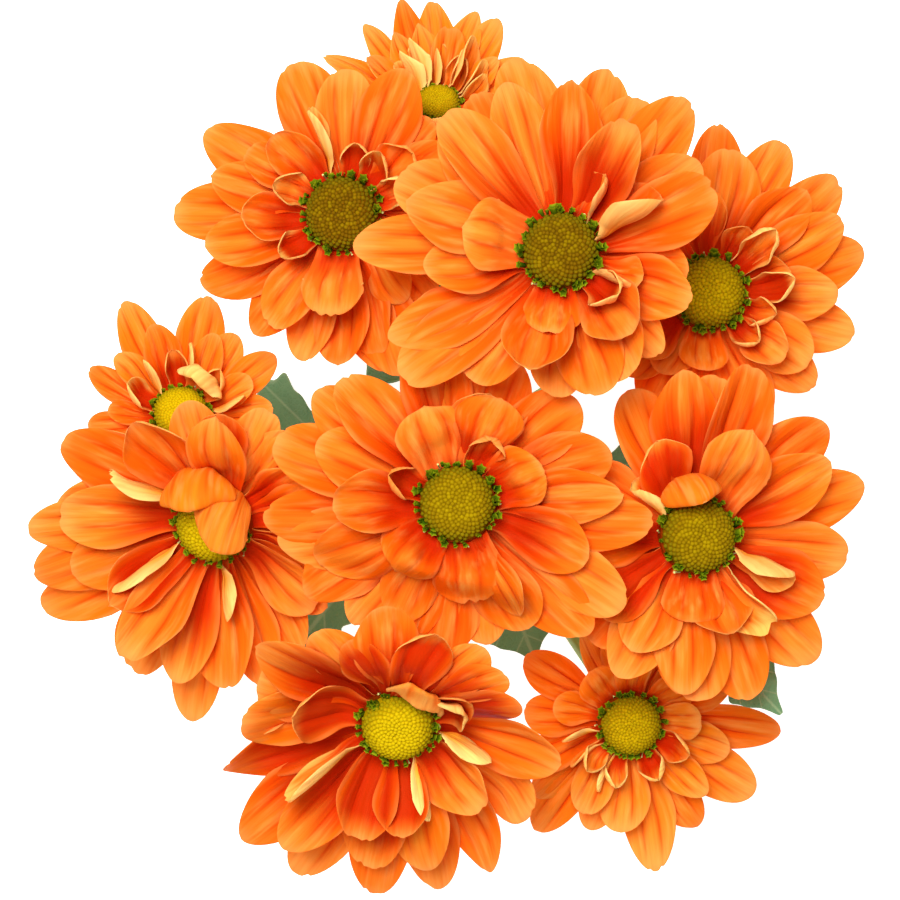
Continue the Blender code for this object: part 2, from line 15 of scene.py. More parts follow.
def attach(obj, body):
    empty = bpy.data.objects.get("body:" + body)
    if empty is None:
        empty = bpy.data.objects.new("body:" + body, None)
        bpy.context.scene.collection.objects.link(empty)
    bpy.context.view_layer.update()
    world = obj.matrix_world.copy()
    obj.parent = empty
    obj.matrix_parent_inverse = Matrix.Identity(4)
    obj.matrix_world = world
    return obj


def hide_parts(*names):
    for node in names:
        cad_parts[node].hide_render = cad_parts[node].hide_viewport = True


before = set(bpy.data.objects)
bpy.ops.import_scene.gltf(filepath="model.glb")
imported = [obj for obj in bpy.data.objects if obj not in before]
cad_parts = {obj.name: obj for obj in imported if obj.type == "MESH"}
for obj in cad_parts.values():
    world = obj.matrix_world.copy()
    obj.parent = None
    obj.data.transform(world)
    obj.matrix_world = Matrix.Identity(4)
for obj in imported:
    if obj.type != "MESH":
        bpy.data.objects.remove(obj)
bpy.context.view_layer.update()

MM = 0.001
UP = np.array([0.0, 0.0, 1.0])

# Driving dimensions, as in the solids
SEEN_FROM = 770.0 * MM
SEEN_PLANE = 100.0 * MM
SEAT_GAP = 0.3 * MM
SPRAY_SHIFT = np.array([0.23, -0.87, 0.0]) * MM

BUTTON_HEIGHT = 3.6 * MM
RECEPTACLE_DEPTH = 6.2 * MM
CALYX_DEPTH = 6.0 * MM
STALK_RADIUS = 1.3 * MM
STEM_RADIUS = 2.4 * MM
PETIOLE_RADIUS = 0.9 * MM

# How petals are drawn and laid over one another, as in the solids
MEAN_BEND = 0.4
FULL_WIDTH_FROM = 0.66
LAYER_LIFT = 2.0
SHORTEST_REACH = 18.0
REACH_WITHIN = 35.0
USUAL_CLIMB = 5.0
LAYER_GAP = 2.0 * MM

# Finer sizes that only the finished look has
PETAL_THICKNESS = 0.42 * MM
LEAF_THICKNESS = 0.5 * MM
GROOVE_DEPTH = 0.55 * MM
WIDEST_AT = 0.6
SPINE_STEPS = 32
LEAST_CURL = 0.02

# Where the claws of finished petals come up beside the disc, and over how long a stretch
CLAW_INSIDE = 2.4 * MM
CLAW_RADIUS = 7.4 * MM
CLAW_REACH = 4.0 * MM

# How petals of two heads press together: how far they keep from the plane between them, by how
# many mm more for each layer, how gently, how far past the other head's tips this fades out, and
# how often they are pressed and their moves evened out
CLEAR_BY = 1.3 * MM
LAYER_STEP = 0.7
EASE_OVER = 1.2 * MM
FADE_OVER = 8.0 * MM
PRESSINGS = 3
EVENINGS = 14

# How the photograph was taken: the width that the picture shows at SEEN_PLANE
PICTURE_WIDTH = 163.6 * MM


@dataclass
class Style:
    """How the petals of one kind grow: sizes given in mm and kept in metres, angles in degrees.
    The last three belong to the finished look alone: how high the claw comes up beside the disc,
    how wide it is as a share of the greatest width, and how pale a yellow the reverse is."""

    width: float
    root_radius: float
    root_height: float
    lift: float
    bend: float
    curl_root: float
    curl_tip: float
    roll: float
    least: float
    most: float
    claw_height: float
    claw: float
    pale: float

    def __post_init__(self):
        for size in ("width", "root_radius", "root_height", "least", "most", "claw_height"):
            setattr(self, size, getattr(self, size) * MM)


STYLES = {
    "outer": Style(14.2, 7.2, -4.9, 4, -8, 30, 14, 12, 12, 36, -2.9, 0.34, 0.4),
    "middle": Style(14.4, 7.8, -3.9, 19, -12, 36, 18, 12, 9, 31, -2.2, 0.4, 0.4),
    "spoon": Style(14.0, 8.3, -3.1, 29, 16, 56, 58, 4, 8, 24, -1.6, 0.5, 0.5),
    "inner": Style(13.0, 9.0, -2.6, 60, -56, 34, -40, 6, 8, 19, -1.0, 0.7, 0.55),
    "dome": Style(15.0, 8.6, -2.5, 62, -56, -50, -66, 0, 8, 24, -0.8, 0.5, 0.2),
    "over": Style(11.0, 8.4, -2.6, 78, 98, 40, 66, 0, 14, 20, -0.8, 0.5, 0.08),
    "quill": Style(8.4, 9.0, -2.6, 42, -20, 50, 70, 100, 8, 20, -1.0, 0.4, 1.0),
    "curled": Style(12.5, 9.0, -2.6, 42, -20, 80, 100, 56, 8, 20, -1.0, 0.4, 1.0),
    "cap": Style(15.0, 9.0, -2.4, 52, 122, 60, 84, 0, 9, 17, -0.4, 0.6, 0.0),
    "lip": Style(9.6, 9.0, -2.6, 44, 34, 76, 104, 10, 8, 12, -0.6, 0.6, 0.9),
    "blade": Style(8.6, 9.0, -2.3, 46, -38, 30, 34, 22, 8, 20, -0.4, 0.3, 0.4),
}
# Kinds whose petals fold over the disc, and kinds that stand up rolled
FOLDED = ("over", "cap", "lip")
ROLLED = ("quill", "curled")


@dataclass
class Head:
    """One flower head: where the middle of its disc is, in mm, which way and how far it leans,
    how large its disc is and how wide its petals are, as shares, and by how many degrees more
    than in a full-blown head its petals lift. Then how yellow its petals are, how bright a
    yellow-green its disc is and how far the dark red of the claws runs out along its petals:
    partly the claws' own red and partly painted shade in the cups and between the petals. Its
    petals are pairs of the direction in which a tip is seen from SEEN_FROM above and its distance
    there from the middle of the disc, in degrees and mm on SEEN_PLANE. Those that fold over the
    disc have the direction of their root and their own length."""

    name: str
    place: tuple
    lean_to: float
    lean: float
    forks_at: float
    seed: int
    disc: float
    broad: float
    young: float
    gold: float
    fresh: float
    deep: float
    petals: dict


# From the uppermost down: each head's petals lie over those of the heads after it
HEADS = [
    Head("upper_mid", (20.0, 36.0, 104), 130, 10, 58, 41, 1, 1, 0, 0.12, 0.02, 0.8, {
        "outer": [(110, 32), (99, 36), (72, 33.5), (48, 36), (176, 38), (214, 37), (236, 30),
                  (270, 28), (28, 30), (312, 27), (352, 24), (135, 31)],
        "middle": [(83, 30.5), (131, 32), (161, 29), (18, 30), (337, 26), (285, 28), (191, 25)],
        "spoon": [(60, 25), (255, 24)],
        "inner": [(167, 18.5), (262, 15)],
        "quill": [(25, 21), (332, 14), (54, 16)],
    }),
    Head("low", (-9.7, -51.3, 82), 265, 26, 34, 21, 1, 1, 0, 0.34, 1.0, 1.6, {
        "outer": [(171, 31), (190, 33), (213, 34), (237, 31), (262, 30), (287, 29), (307, 31),
                  (334, 33), (20, 24), (50, 24), (125, 25), (92, 22)],
        "middle": [(148, 31), (228, 29), (280, 26), (353, 31), (112, 20), (256, 25)],
        "spoon": [(168, 20), (75, 20), (274, 19), (317, 20), (246, 20), (22, 15)],
        "hood": [(75, 11)],
        "quill": [(212, 23), (293, 17), (345, 18)],
    }),
    Head("centre", (1.3, -9.8, 100), 90, 3, 62, 21, 1, 1, 0, 0.04, 0.28, 0.9, {
        "outer": [(141, 33), (163, 36), (188, 37), (209, 37), (248, 29), (284, 27), (229, 31),
                  (313, 35), (330, 36), (351, 36), (44, 30), (22, 30), (70, 29)],
        "middle": [(132, 31), (155, 28), (99, 30), (240, 25), (6, 31), (341, 26), (208, 30)],
        "spoon": [(70, 25), (178, 22)],
        "inner": [(106, 19.5), (24, 17.5), (226, 17.5), (279, 19.5)],
        "hood": [(160, 9)],
        "quill": [(299, 26)],
    }),
    Head("right", (45.5, -15.7, 94), 0, 8, 48, 26, 1, 1, 0, 0.22, 0.24, 0.95, {
        "outer": [(119, 30), (45, 31), (16, 31), (352, 27), (309, 31), (287, 31), (241, 30),
                  (202, 26), (154, 27), (84, 31)],
        "middle": [(98, 31), (71, 33), (28, 27), (329, 25), (238, 25), (260, 29), (180, 22)],
        "spoon": [(118, 20), (289, 19)],
        "inner": [(60, 22), (265, 16)],
        "hood": [(100, 10)],
        "quill": [(338, 18), (303, 20), (147, 12)],
    }),
    Head("left", (-44.0, -13.9, 86), 225, 22, 42, 20, 1, 1, 0, 0.42, 0.9, 0.95, {
        "outer": [(146, 33), (163, 29), (178, 33), (208, 34), (242, 29), (266, 35), (290, 30),
                  (311, 28), (330, 27), (0, 24), (45, 24)],
        "middle": [(85, 22), (30, 22), (173, 27), (196, 26), (277, 29), (256, 28)],
        "spoon": [(128, 24), (219, 23), (238, 27)],
        "over": [(58, 19)],
        "hood": [(108, 12)],
        "quill": [(150, 20), (211, 20), (280, 17)],
    }),
    Head("upper_left", (-20.1, 44.2, 82), 180, 12, 38, 21, 1, 0.94, 0, 0.14, 0.0, 0.75, {
        "outer": [(104, 28), (147, 28), (181, 30), (212, 29), (258, 28), (285, 27), (30, 24),
                  (320, 24), (235, 27), (66, 28)],
        "middle": [(88, 26), (63, 29), (143, 20), (166, 24), (198, 25), (238, 24), (305, 20)],
        "spoon": [(128, 18), (38, 19), (186, 18)],
        "inner": [(262, 19)],
        "hood": [(155, 8), (215, 7), (50, 9), (76, 8)],
        "quill": [(106, 19)],
    }),
    Head("upper_right", (48.5, 29.5, 78), 45, 10, 36, 38, 1, 0.92, 0, 0.3, 0.55, 0.75, {
        "outer": [(88, 30), (67, 30), (40, 31), (13, 29), (341, 27), (314, 26), (288, 26),
                  (258, 26), (228, 22), (120, 24), (195, 20), (155, 20)],
        "middle": [(80, 26), (50, 25), (27, 27), (0, 23), (325, 22), (222, 18)],
        "spoon": [(14, 15), (318, 18), (60, 13)],
        "inner": [(262, 13)],
        "hood": [(338, 7)],
    }),
    Head("lower_right", (34.6, -52.6, 63), 300, 13, 28, 72, 0.86, 0.8, 6, 0.8, 0.62, 0.6, {
        "outer": [(147, 24), (174, 20), (223, 26), (248, 20), (283, 26), (301, 22), (331, 25),
                  (2, 27), (116, 20), (52, 19), (198, 22)],
        "middle": [(163, 15), (345, 18), (266, 19), (24, 20), (236, 18), (316, 18)],
        "inner": [(130, 13), (38, 13)],
        "hood": [(222, 6), (252, 7), (300, 8), (335, 8)],
        "quill": [(190, 12)],
    }),
    Head("left_small", (-51.6, 7.0, 64), 90, 24, 30, 47, 0.76, 0.76, 14, 0.66, 1.0, 0.65, {
        "outer": [(119, 22), (76, 21), (50, 17), (27, 20), (2, 17), (160, 18), (190, 17),
                  (215, 18), (325, 16), (262, 16)],
        "middle": [(106, 16), (62, 15), (138, 15), (180, 13), (20, 14)],
        "hood": [(160, 7), (95, 6), (40, 7)],
        "quill": [(78, 12), (12, 12)],
    }),
    Head("top", (-2.3, 65.9, 66), 90, 38, 32, 33, 0.62, 0.66, 24, 0.98, 0.65, 0.4, {
        "outer": [(160, 22), (136, 19), (112, 19), (90, 18), (52, 18), (185, 18), (25, 17),
                  (70, 17), (215, 14), (340, 16), (250, 12), (300, 14)],
        "middle": [(80, 13), (122, 14), (150, 15), (35, 13), (101, 14)],
        "hood": [(140, 5), (60, 5)],
        "quill": [(114, 12), (62, 10)],
    }),
]


def outward(angles):
    """Unit vectors in the plane of a disc, in directions given in radians."""
    return np.stack([np.cos(angles), np.sin(angles), np.zeros(len(angles))], axis=-1)


def spun(points, azimuth):
    """Points turned round the Z axis by an angle in degrees."""
    return points @ np.array(Matrix.Rotation(math.radians(azimuth), 3, "Z")).T


def lean_matrix(lean_to, lean):
    """Turns +Z by lean degrees towards the compass direction lean_to."""
    turn = Matrix.Rotation(math.radians(lean_to), 3, "Z")
    tip = Matrix.Rotation(math.radians(lean), 3, "Y")
    return np.array(turn @ tip @ turn.inverted())


def head_place(head):
    """Where the origin of a head's own frame is, in metres."""
    return np.array(head.place) * MM + SPRAY_SHIFT


def on_head(head, points):
    """Points of a head's own frame, in metres, carried to where the head is."""
    return points @ lean_matrix(head.lean_to, head.lean).T + head_place(head)


def petal_rise(s, claw):
    """Half width from a petal's claw to its widest place, as a share: a rising sine to 1.5."""
    return claw + (1 - claw) * np.sin(np.pi / 2 * np.clip(s / WIDEST_AT, 0, 1)) ** 1.5


def petal_outline(s, claw):
    """Half width along a petal, as a share: the rise, then an oval tip of power 2.2."""
    past = np.clip((s - WIDEST_AT) / (1 - WIDEST_AT), 0, 1)
    return np.where(s < WIDEST_AT, petal_rise(s, claw), np.sqrt(1 - past**2.2))


def petal_end(v):
    """The share of its length at which each lengthwise line of a petal ends: the oval tip."""
    return WIDEST_AT + (1 - WIDEST_AT) * (1 - np.minimum(v**2, 1)) ** (1 / 2.2)


@dataclass
class Petal:
    """One petal as it grows from its head: angles in degrees, sizes in metres, its sway a share
    of its length and its cup a share of its style's curl."""

    style: Style
    azimuth: float
    length: float
    width: float
    lift: float
    roll: float
    sway: float
    kind: str
    cup: float = 1.0


def aimed(head, style, climb, azimuth, reach):
    """The direction in the head and the length of a petal whose tip is seen at this place: of the
    straight lines that climb from a root every half degree, the one that comes nearest to the
    line of sight, and how far along it that is."""
    lean = lean_matrix(head.lean_to, head.lean)
    directions = np.arange(0, 360, 0.5)
    out = outward(np.radians(directions))
    root = (out * style.root_radius + UP * style.root_height) * head.disc
    place = np.array(head.place) * MM
    root = root @ lean.T + place
    grows = (out * math.cos(climb) + UP * math.sin(climb)) @ lean.T
    disc = place + lean @ UP * BUTTON_HEIGHT * head.disc
    seen = disc[:2] * (SEEN_FROM - SEEN_PLANE) / (SEEN_FROM - disc[2])
    seen = seen + reach * np.array([math.cos(azimuth), math.sin(azimuth)])
    line = seen / (SEEN_FROM - SEEN_PLANE)
    gap = line * (SEEN_FROM - root[:, 2:]) - root[:, :2]
    step = grows[:, :2] + line * grows[:, 2:]
    length = np.sum(gap * step, axis=-1) / np.sum(step**2, axis=-1)
    miss = np.linalg.norm(gap - length[:, None] * step, axis=-1) + (length < 0)
    best = np.argmin(miss)
    return directions[best], length[best]


def petals_of(head, petals, seed):
    """Petals of a head: each one's own direction and length are worked out from where its tip is
    seen, and a seeded draw varies its lift, width, roll and sway."""
    draw = np.random.default_rng(seed)
    for kind, tips in petals.items():
        kind = SHOWN_AS.get((head.name, kind), kind)
        style = STYLES[kind]
        folds = kind in FOLDED
        for number, (azimuth, reach) in enumerate(sorted(tips)):
            lift = style.lift + LAYER_LIFT * (-1) ** number + draw.uniform(-2, 2)
            lift += 0 if folds else head.young
            length = reach * MM
            climb = math.radians(lift + MEAN_BEND * style.bend)
            if not folds:
                azimuth, length = aimed(head, style, climb, math.radians(azimuth), length)
            length = min(max(length, style.least), style.most)
            full = (length / (FULL_WIDTH_FROM * style.most)) ** 0.6
            width = style.width * head.broad * min(1.0, full)
            yield Petal(
                style,
                azimuth,
                length,
                width * draw.uniform(0.94, 1.06),
                lift,
                style.roll + draw.uniform(-4, 4),
                draw.uniform(-0.08, 0.08),
                kind,
            )


def petal_sheet(head, petal, s, across):
    """Points of a petal's middle surface in its head's frame. s is the share of its length and
    across runs from edge to edge as -1 to 1. Its spine is an arc that starts at its lift and
    bends by its bend, and its blade is rolled round the spine on a circle of its curl. Below 0,
    s runs straight on into the pad. Its claw is drawn in and up to the disc's rim, by the square
    of how near it is."""
    style = petal.style
    steps = np.linspace(0, 1, SPINE_STEPS + 1)
    climb = np.radians(petal.lift + style.bend * steps**1.4)
    mean = (climb[1:] + climb[:-1]) / 2
    run = np.append(0, np.cumsum(np.cos(mean))) * petal.length / SPINE_STEPS
    rise = np.append(0, np.cumsum(np.sin(mean))) * petal.length / SPINE_STEPS
    inside = np.minimum(s, 0) * petal.length
    start = math.radians(petal.lift)
    x = style.root_radius * head.disc + np.interp(s, steps, run) + inside * math.cos(start)
    z = style.root_height * head.disc + np.interp(s, steps, rise) + inside * math.sin(start)
    near = np.clip(1 - s * petal.length / max(CLAW_REACH, 0.2 * petal.length), 0, 1) ** 2
    x = x + (CLAW_RADIUS - style.root_radius) * head.disc * near
    z = z + (style.claw_height - style.root_height) * head.disc * near
    c = np.interp(s, steps, climb)
    half = petal.width / 2 * petal_outline(s, style.claw)
    curl = petal.cup * np.radians(style.curl_root + (style.curl_tip - style.curl_root) * s)
    curl = np.where(np.abs(curl) < LEAST_CURL, LEAST_CURL, curl)
    bow = curl * across
    y = half * np.sin(bow) / curl
    h = half * (1 - np.cos(bow)) / curl
    roll = math.radians(petal.roll) * np.clip(0.45 + 2.5 * s, 0, 1)
    cos, sin = np.cos(roll), np.sin(roll)
    y, h = y * cos - h * sin, y * sin + h * cos
    y = y + petal.sway * petal.length * s**2
    points = np.stack([x - h * np.sin(c), y, z + h * np.cos(c)], axis=-1)
    return spun(points, petal.azimuth)


@dataclass
class Divide:
    """A plane between the petals of two heads, seen from one of them: a point on it, the normal
    to that head's side, and where the other head's petals end."""

    middle: np.ndarray
    normal: np.ndarray
    other: np.ndarray
    away: np.ndarray
    reach: float


def reach_towards(head, azimuth):
    """How far the head's petals reach in a direction, seen from above: the furthest tip within
    REACH_WITHIN of it."""
    reaches = [SHORTEST_REACH]
    for tips in head.petals.values():
        reaches += [r for az, r in tips if abs((az - azimuth + 180) % 360 - 180) < REACH_WITHIN]
    return max(reaches) * MM


def petals_slope(head, azimuth):
    """The slope at which the head's petals leave its middle in a direction."""
    level = -head.lean * math.cos(math.radians(azimuth - head.lean_to))
    return math.tan(math.radians(level + USUAL_CLIMB + head.young))


def dividing_planes(head):
    """The planes that keep this head's petals clear of its neighbours'. Each passes midway between
    the slopes of the two heads' petals where they overlap, and leans by how far the upper head's
    tips lie over the lower one's, divided by the overlap."""
    rank = HEADS.index(head)
    for other in HEADS:
        order = rank - HEADS.index(other)
        if not order:
            continue
        here, there = head_place(head), head_place(other)
        apart = np.hypot(*(here - there)[:2])
        away = (here - there)[:2] / apart
        azimuth = math.degrees(math.atan2(away[1], away[0]))
        mine, theirs = reach_towards(head, azimuth + 180), reach_towards(other, azimuth)
        overlap = mine + theirs - apart
        if overlap < -LAYER_GAP - MM:
            continue
        my_slope, their_slope = petals_slope(head, azimuth + 180), petals_slope(other, azimuth)
        along = (apart - mine + theirs) / 2
        height = here[2] + (apart - along) * my_slope + there[2] + along * their_slope
        tips = here[2] + mine * my_slope - there[2] - theirs * their_slope
        side = -1 if order > 0 else 1
        slope = min(max((side * tips - LAYER_GAP) / max(overlap, 4 * LAYER_GAP), 0.1), 1.0)
        normal = np.append(away * slope, side) / math.hypot(slope, side)
        middle = np.append(there[:2] + away * along, height / 2 - LAYER_GAP - MM)
        yield Divide(middle, normal, there, away, theirs + LAYER_GAP)


def evened(values, passes):
    """Evens out a grid of vectors: each pass adds twice a point to its two neighbours in each
    direction and takes a quarter of the sum."""
    for _ in range(passes):
        for axis in (0, 1):
            ends = [(1, 1) if number == axis else (0, 0) for number in range(3)]
            wide = np.moveaxis(np.pad(values, ends, mode="edge"), axis, 0)
            values = np.moveaxis((wide[:-2] + 2 * wide[1:-1] + wide[2:]) / 4, 0, axis)
    return values


def bent_clear(head, points, layer):
    """Presses points that would pass a dividing plane gently against it, and evens the move out
    over the sheet, so that no crease is left. Each layer of petals keeps its own distance."""
    planes = list(dividing_planes(head))
    moved = points
    for _ in range(PRESSINGS):
        for plane in planes:
            steps = layer if plane.normal[2] > 0 else TOP_LAYER - layer
            margin = CLEAR_BY + steps * LAYER_STEP * MM
            depth = (moved - plane.middle) @ plane.normal - margin
            pressed = EASE_OVER * np.logaddexp(0, depth / EASE_OVER)
            into = plane.reach - (moved - plane.other)[..., :2] @ plane.away
            share = np.clip(into / FADE_OVER + 0.6, 0, 1)
            share = share * share * (3 - 2 * share)
            moved = moved + ((pressed - depth) * share)[..., None] * plane.normal
    return points + evened(moved - points, EVENINGS)


def placed(name, data):
    """A new object in the scene, which shows data."""
    shown = bpy.data.objects.new(name, data)
    bpy.context.scene.collection.objects.link(shown)
    return shown


class Piece:
    """Gathers the surfaces of one piece: their points and faces, the marks on their points that
    a finish reads, and which faces are a reverse side."""

    def __init__(self, name):
        self.name = name
        self.points, self.faces, self.sides = [], [], []
        self.marks = {}
        self.count = 0

    def add(self, points, faces, reverse=(), **marks):
        """Takes points, and faces as index arrays of three or four columns. A mark is one value
        or one for each point, and reverse holds a value for each array of faces."""
        points = points.reshape(-1, 3)
        for name in {**self.marks, **marks}:
            held = self.marks.setdefault(name, [np.zeros(self.count)] if self.count else [])
            value = marks.get(name, 0.0)
            held.append(np.broadcast_to(np.asarray(value, float).reshape(-1), len(points)))
        for number, array in enumerate(faces):
            self.faces.append(array + self.count)
            side = reverse[number] if reverse else 0.0
            self.sides.append(np.full(len(array), side))
        self.points.append(points)
        self.count += len(points)

    def make(self, finish, slot, *nodes):
        """Makes the piece's object, in place in its mesh, on the root body."""
        corners = np.concatenate([array.ravel() for array in self.faces])
        sizes = np.concatenate([np.full(len(array), array.shape[1]) for array in self.faces])
        mesh = bpy.data.meshes.new(self.name)
        mesh.vertices.add(self.count)
        mesh.vertices.foreach_set("co", np.concatenate(self.points).ravel())
        mesh.loops.add(len(corners))
        mesh.loops.foreach_set("vertex_index", corners.astype(np.int32))
        mesh.polygons.add(len(sizes))
        mesh.polygons.foreach_set("loop_start", np.append(0, np.cumsum(sizes)[:-1]))
        mesh.polygons.foreach_set("use_smooth", np.ones(len(sizes), bool))
        mesh.update(calc_edges=True)
        mesh.validate()
        for name, values in self.marks.items():
            mark = mesh.attributes.new(name, "FLOAT", "POINT")
            mark.data.foreach_set("value", np.concatenate(values))
        side = mesh.attributes.new("reverse", "FLOAT", "FACE")
        side.data.foreach_set("value", np.concatenate(self.sides))
        mesh.set_sharp_from_angle(angle=math.radians(60))
        mesh.materials.append(finish)
        piece = placed(self.name, mesh)
        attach(piece, "root")
        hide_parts(*nodes)


def unit(vectors):
    """Vectors over their lengths."""
    return vectors / np.maximum(np.linalg.norm(vectors, axis=-1, keepdims=True), 1e-12)


def sheet_normals(points):
    """Unit normals of a grid of points, by the cross product of its two differences."""
    normals = unit(np.cross(np.gradient(points, axis=0), np.gradient(points, axis=1)))
    normals[-1, 0], normals[-1, -1] = normals[-2, 1], normals[-2, -2]
    return normals


def grid_quads(rows, columns, wrap=False):
    """The faces of a grid, anticlockwise seen from the side of its normals."""
    i, j = np.meshgrid(np.arange(rows - 1), np.arange(columns - (not wrap)), indexing="ij")
    k = (j + 1) % columns
    corners = [i * columns + j, (i + 1) * columns + j, (i + 1) * columns + k, i * columns + k]
    return np.stack(corners, axis=-1).reshape(-1, 4)


def blade_faces(rows, columns):
    """The faces of a closed blade whose upper grid comes first and whose lower grid shares the
    upper one's rim."""
    upper = np.arange(rows * columns).reshape(rows, columns)
    lower = upper.copy()
    inner = np.arange((rows - 2) * (columns - 2)).reshape(rows - 2, columns - 2)
    lower[1:-1, 1:-1] = rows * columns + inner
    quads = grid_quads(rows, columns)
    return quads, lower.ravel()[quads][:, ::-1]


def blade(piece, points, thickness, **marks):
    """Adds a closed blade round a grid of points: half its thickness to each side of it, times a
    share that falls to nothing at the rim as the fourth root of the distance from it."""
    rows, columns = points.shape[:2]
    normals = sheet_normals(points)
    edge_u = np.minimum(np.arange(rows), np.arange(rows)[::-1]) / (rows / 2)
    edge_v = np.minimum(np.arange(columns), np.arange(columns)[::-1]) / (columns / 2)
    share = (np.minimum(1, 2 * edge_u)[:, None] * np.minimum(1, 2 * edge_v)[None, :]) ** 0.25
    half = (thickness / 2 * share)[..., None] * normals
    both = [(points + half).reshape(-1, 3), (points - half)[1:-1, 1:-1].reshape(-1, 3)]
    doubled = {}
    for name, value in marks.items():
        if np.ndim(value):
            value = np.concatenate([value.ravel(), value[1:-1, 1:-1].ravel()])
        doubled[name] = value
    piece.add(np.concatenate(both), blade_faces(rows, columns), reverse=(0.0, 1.0), **doubled)


def ring_faces(rows, sides):
    """The faces of a closed body of rings: the bands between them, and a fan at each end to one
    of the two points that come last. Anticlockwise from outside where the rings run downwards."""
    k = np.arange(sides)
    count = rows * sides
    last = count - sides
    first = np.stack([k, (k + 1) % sides, np.full(sides, count)], axis=-1)
    end = np.stack([last + (k + 1) % sides, last + k, np.full(sides, count + 1)], axis=-1)
    return [grid_quads(rows, sides, wrap=True), first, end]


def turned(profile, sides, lobes=0, depths=0.0):
    """The points and faces of a closed turned body from (radius, height) rows, top to bottom, on
    the axis at both ends: each row between becomes a ring, and the ends are fans to one point. A
    ring's radius has a cosine of lobes round it, by the share that depths gives for its row."""
    profile = np.array(profile, float)
    angles = np.linspace(0, 2 * np.pi, sides, endpoint=False)
    depths = np.broadcast_to(depths, len(profile) - 2)[:, None]
    radius = profile[1:-1, :1] * (1 + depths * np.cos(lobes * angles))
    height = np.broadcast_to(profile[1:-1, 1:], radius.shape)
    rings = np.stack([radius * np.cos(angles), radius * np.sin(angles), height], axis=-1)
    ends = [[0, 0, profile[0, 1]], [0, 0, profile[-1, 1]]]
    return np.concatenate([rings.reshape(-1, 3), ends]), ring_faces(len(rings), sides)


def swept(piece, line, radii, sides, ribs, **marks):
    """Adds a closed tube along a line of points. Each ring stands square to the line, turned as
    little as it can be from the one before, and its radius has a cosine of ribs round it."""
    ahead = unit(np.gradient(line, axis=0))
    side = unit(np.cross(ahead[0], [0.31, 0.95, 0.02]))
    sides_at = []
    for step in ahead:
        side = unit(side - step * (side @ step))
        sides_at.append(side)
    side = np.array(sides_at)
    over = np.cross(ahead, side)
    angles = np.linspace(0, 2 * np.pi, sides, endpoint=False)
    radius = radii[:, None] * (1 + RIB * np.cos(ribs * angles))[None, :]
    around = side[:, None] * np.cos(angles)[:, None] + over[:, None] * np.sin(angles)[:, None]
    rings = line[:, None] + around * radius[..., None]
    points = np.concatenate([rings.reshape(-1, 3), line[:1], line[-1:]])
    faces = [array[:, ::-1] for array in ring_faces(len(line), sides)]
    along = np.repeat(np.linspace(0, 1, len(line)), sides)
    piece.add(points, faces, along=np.append(along, [0, 1]), **marks)


def scattered(piece, shape, places, normals, sizes, turns, **marks):
    """Adds a copy of a small turned shape at each place, scaled, spun by its turn and stood along
    its normal. Its points say how far up it they are, as a share."""
    points, faces = shape
    along = (points[:, 2] - points[:, 2].min()) / np.ptp(points[:, 2])
    first = unit(np.cross(normals, [0.3, 0.2, 0.93]))
    second = np.cross(normals, first)
    cos, sin = np.cos(turns)[:, None], np.sin(turns)[:, None]
    x, y = first * cos + second * sin, second * cos - first * sin
    axes = np.stack([x, y, normals], axis=1) * sizes[:, None, None]
    copies = np.einsum("pk,nkd->npd", points, axes) + places[:, None]
    starts = np.arange(len(places))[:, None, None] * len(points)
    faces = [(array[None] + starts).reshape(-1, array.shape[1]) for array in faces]
    spread = {
        name: np.repeat(np.broadcast_to(value, len(places)), len(points))
        for name, value in marks.items()
    }
    piece.add(copies, faces, along=np.tile(along, len(places)), **spread)


# The finished petals: where the two pleats lie and how wide they and a nick are, as shares of
# half the width, and how far, in mm, dents, frills and curled tips leave the sheet at most

GROOVE_AT = 0.36
GROOVE_WIDTH = 0.15
NOTCH_WIDTH = 0.06
DENTS = 0.24
FRILLS = 0.3
TIP_CURL = (-2.0, 1.4)
EDGE_CURL = (-1.0, 0.2)
# Petals shorter than this have the coarser grid, of rows and columns
SHORT_PETAL = 11 * MM
SHORT_GRID = (14, 13)
LONG_GRID = (24, 25)
# The pad that a head's petals root in, as (radius, height) rows in mm
PAD = [(0, 0), (7.0, 0), (7.1, -2.2), (7.9, -3.9), (9.6, -5.0), (8.6, -6.2), (0, -6.2)]

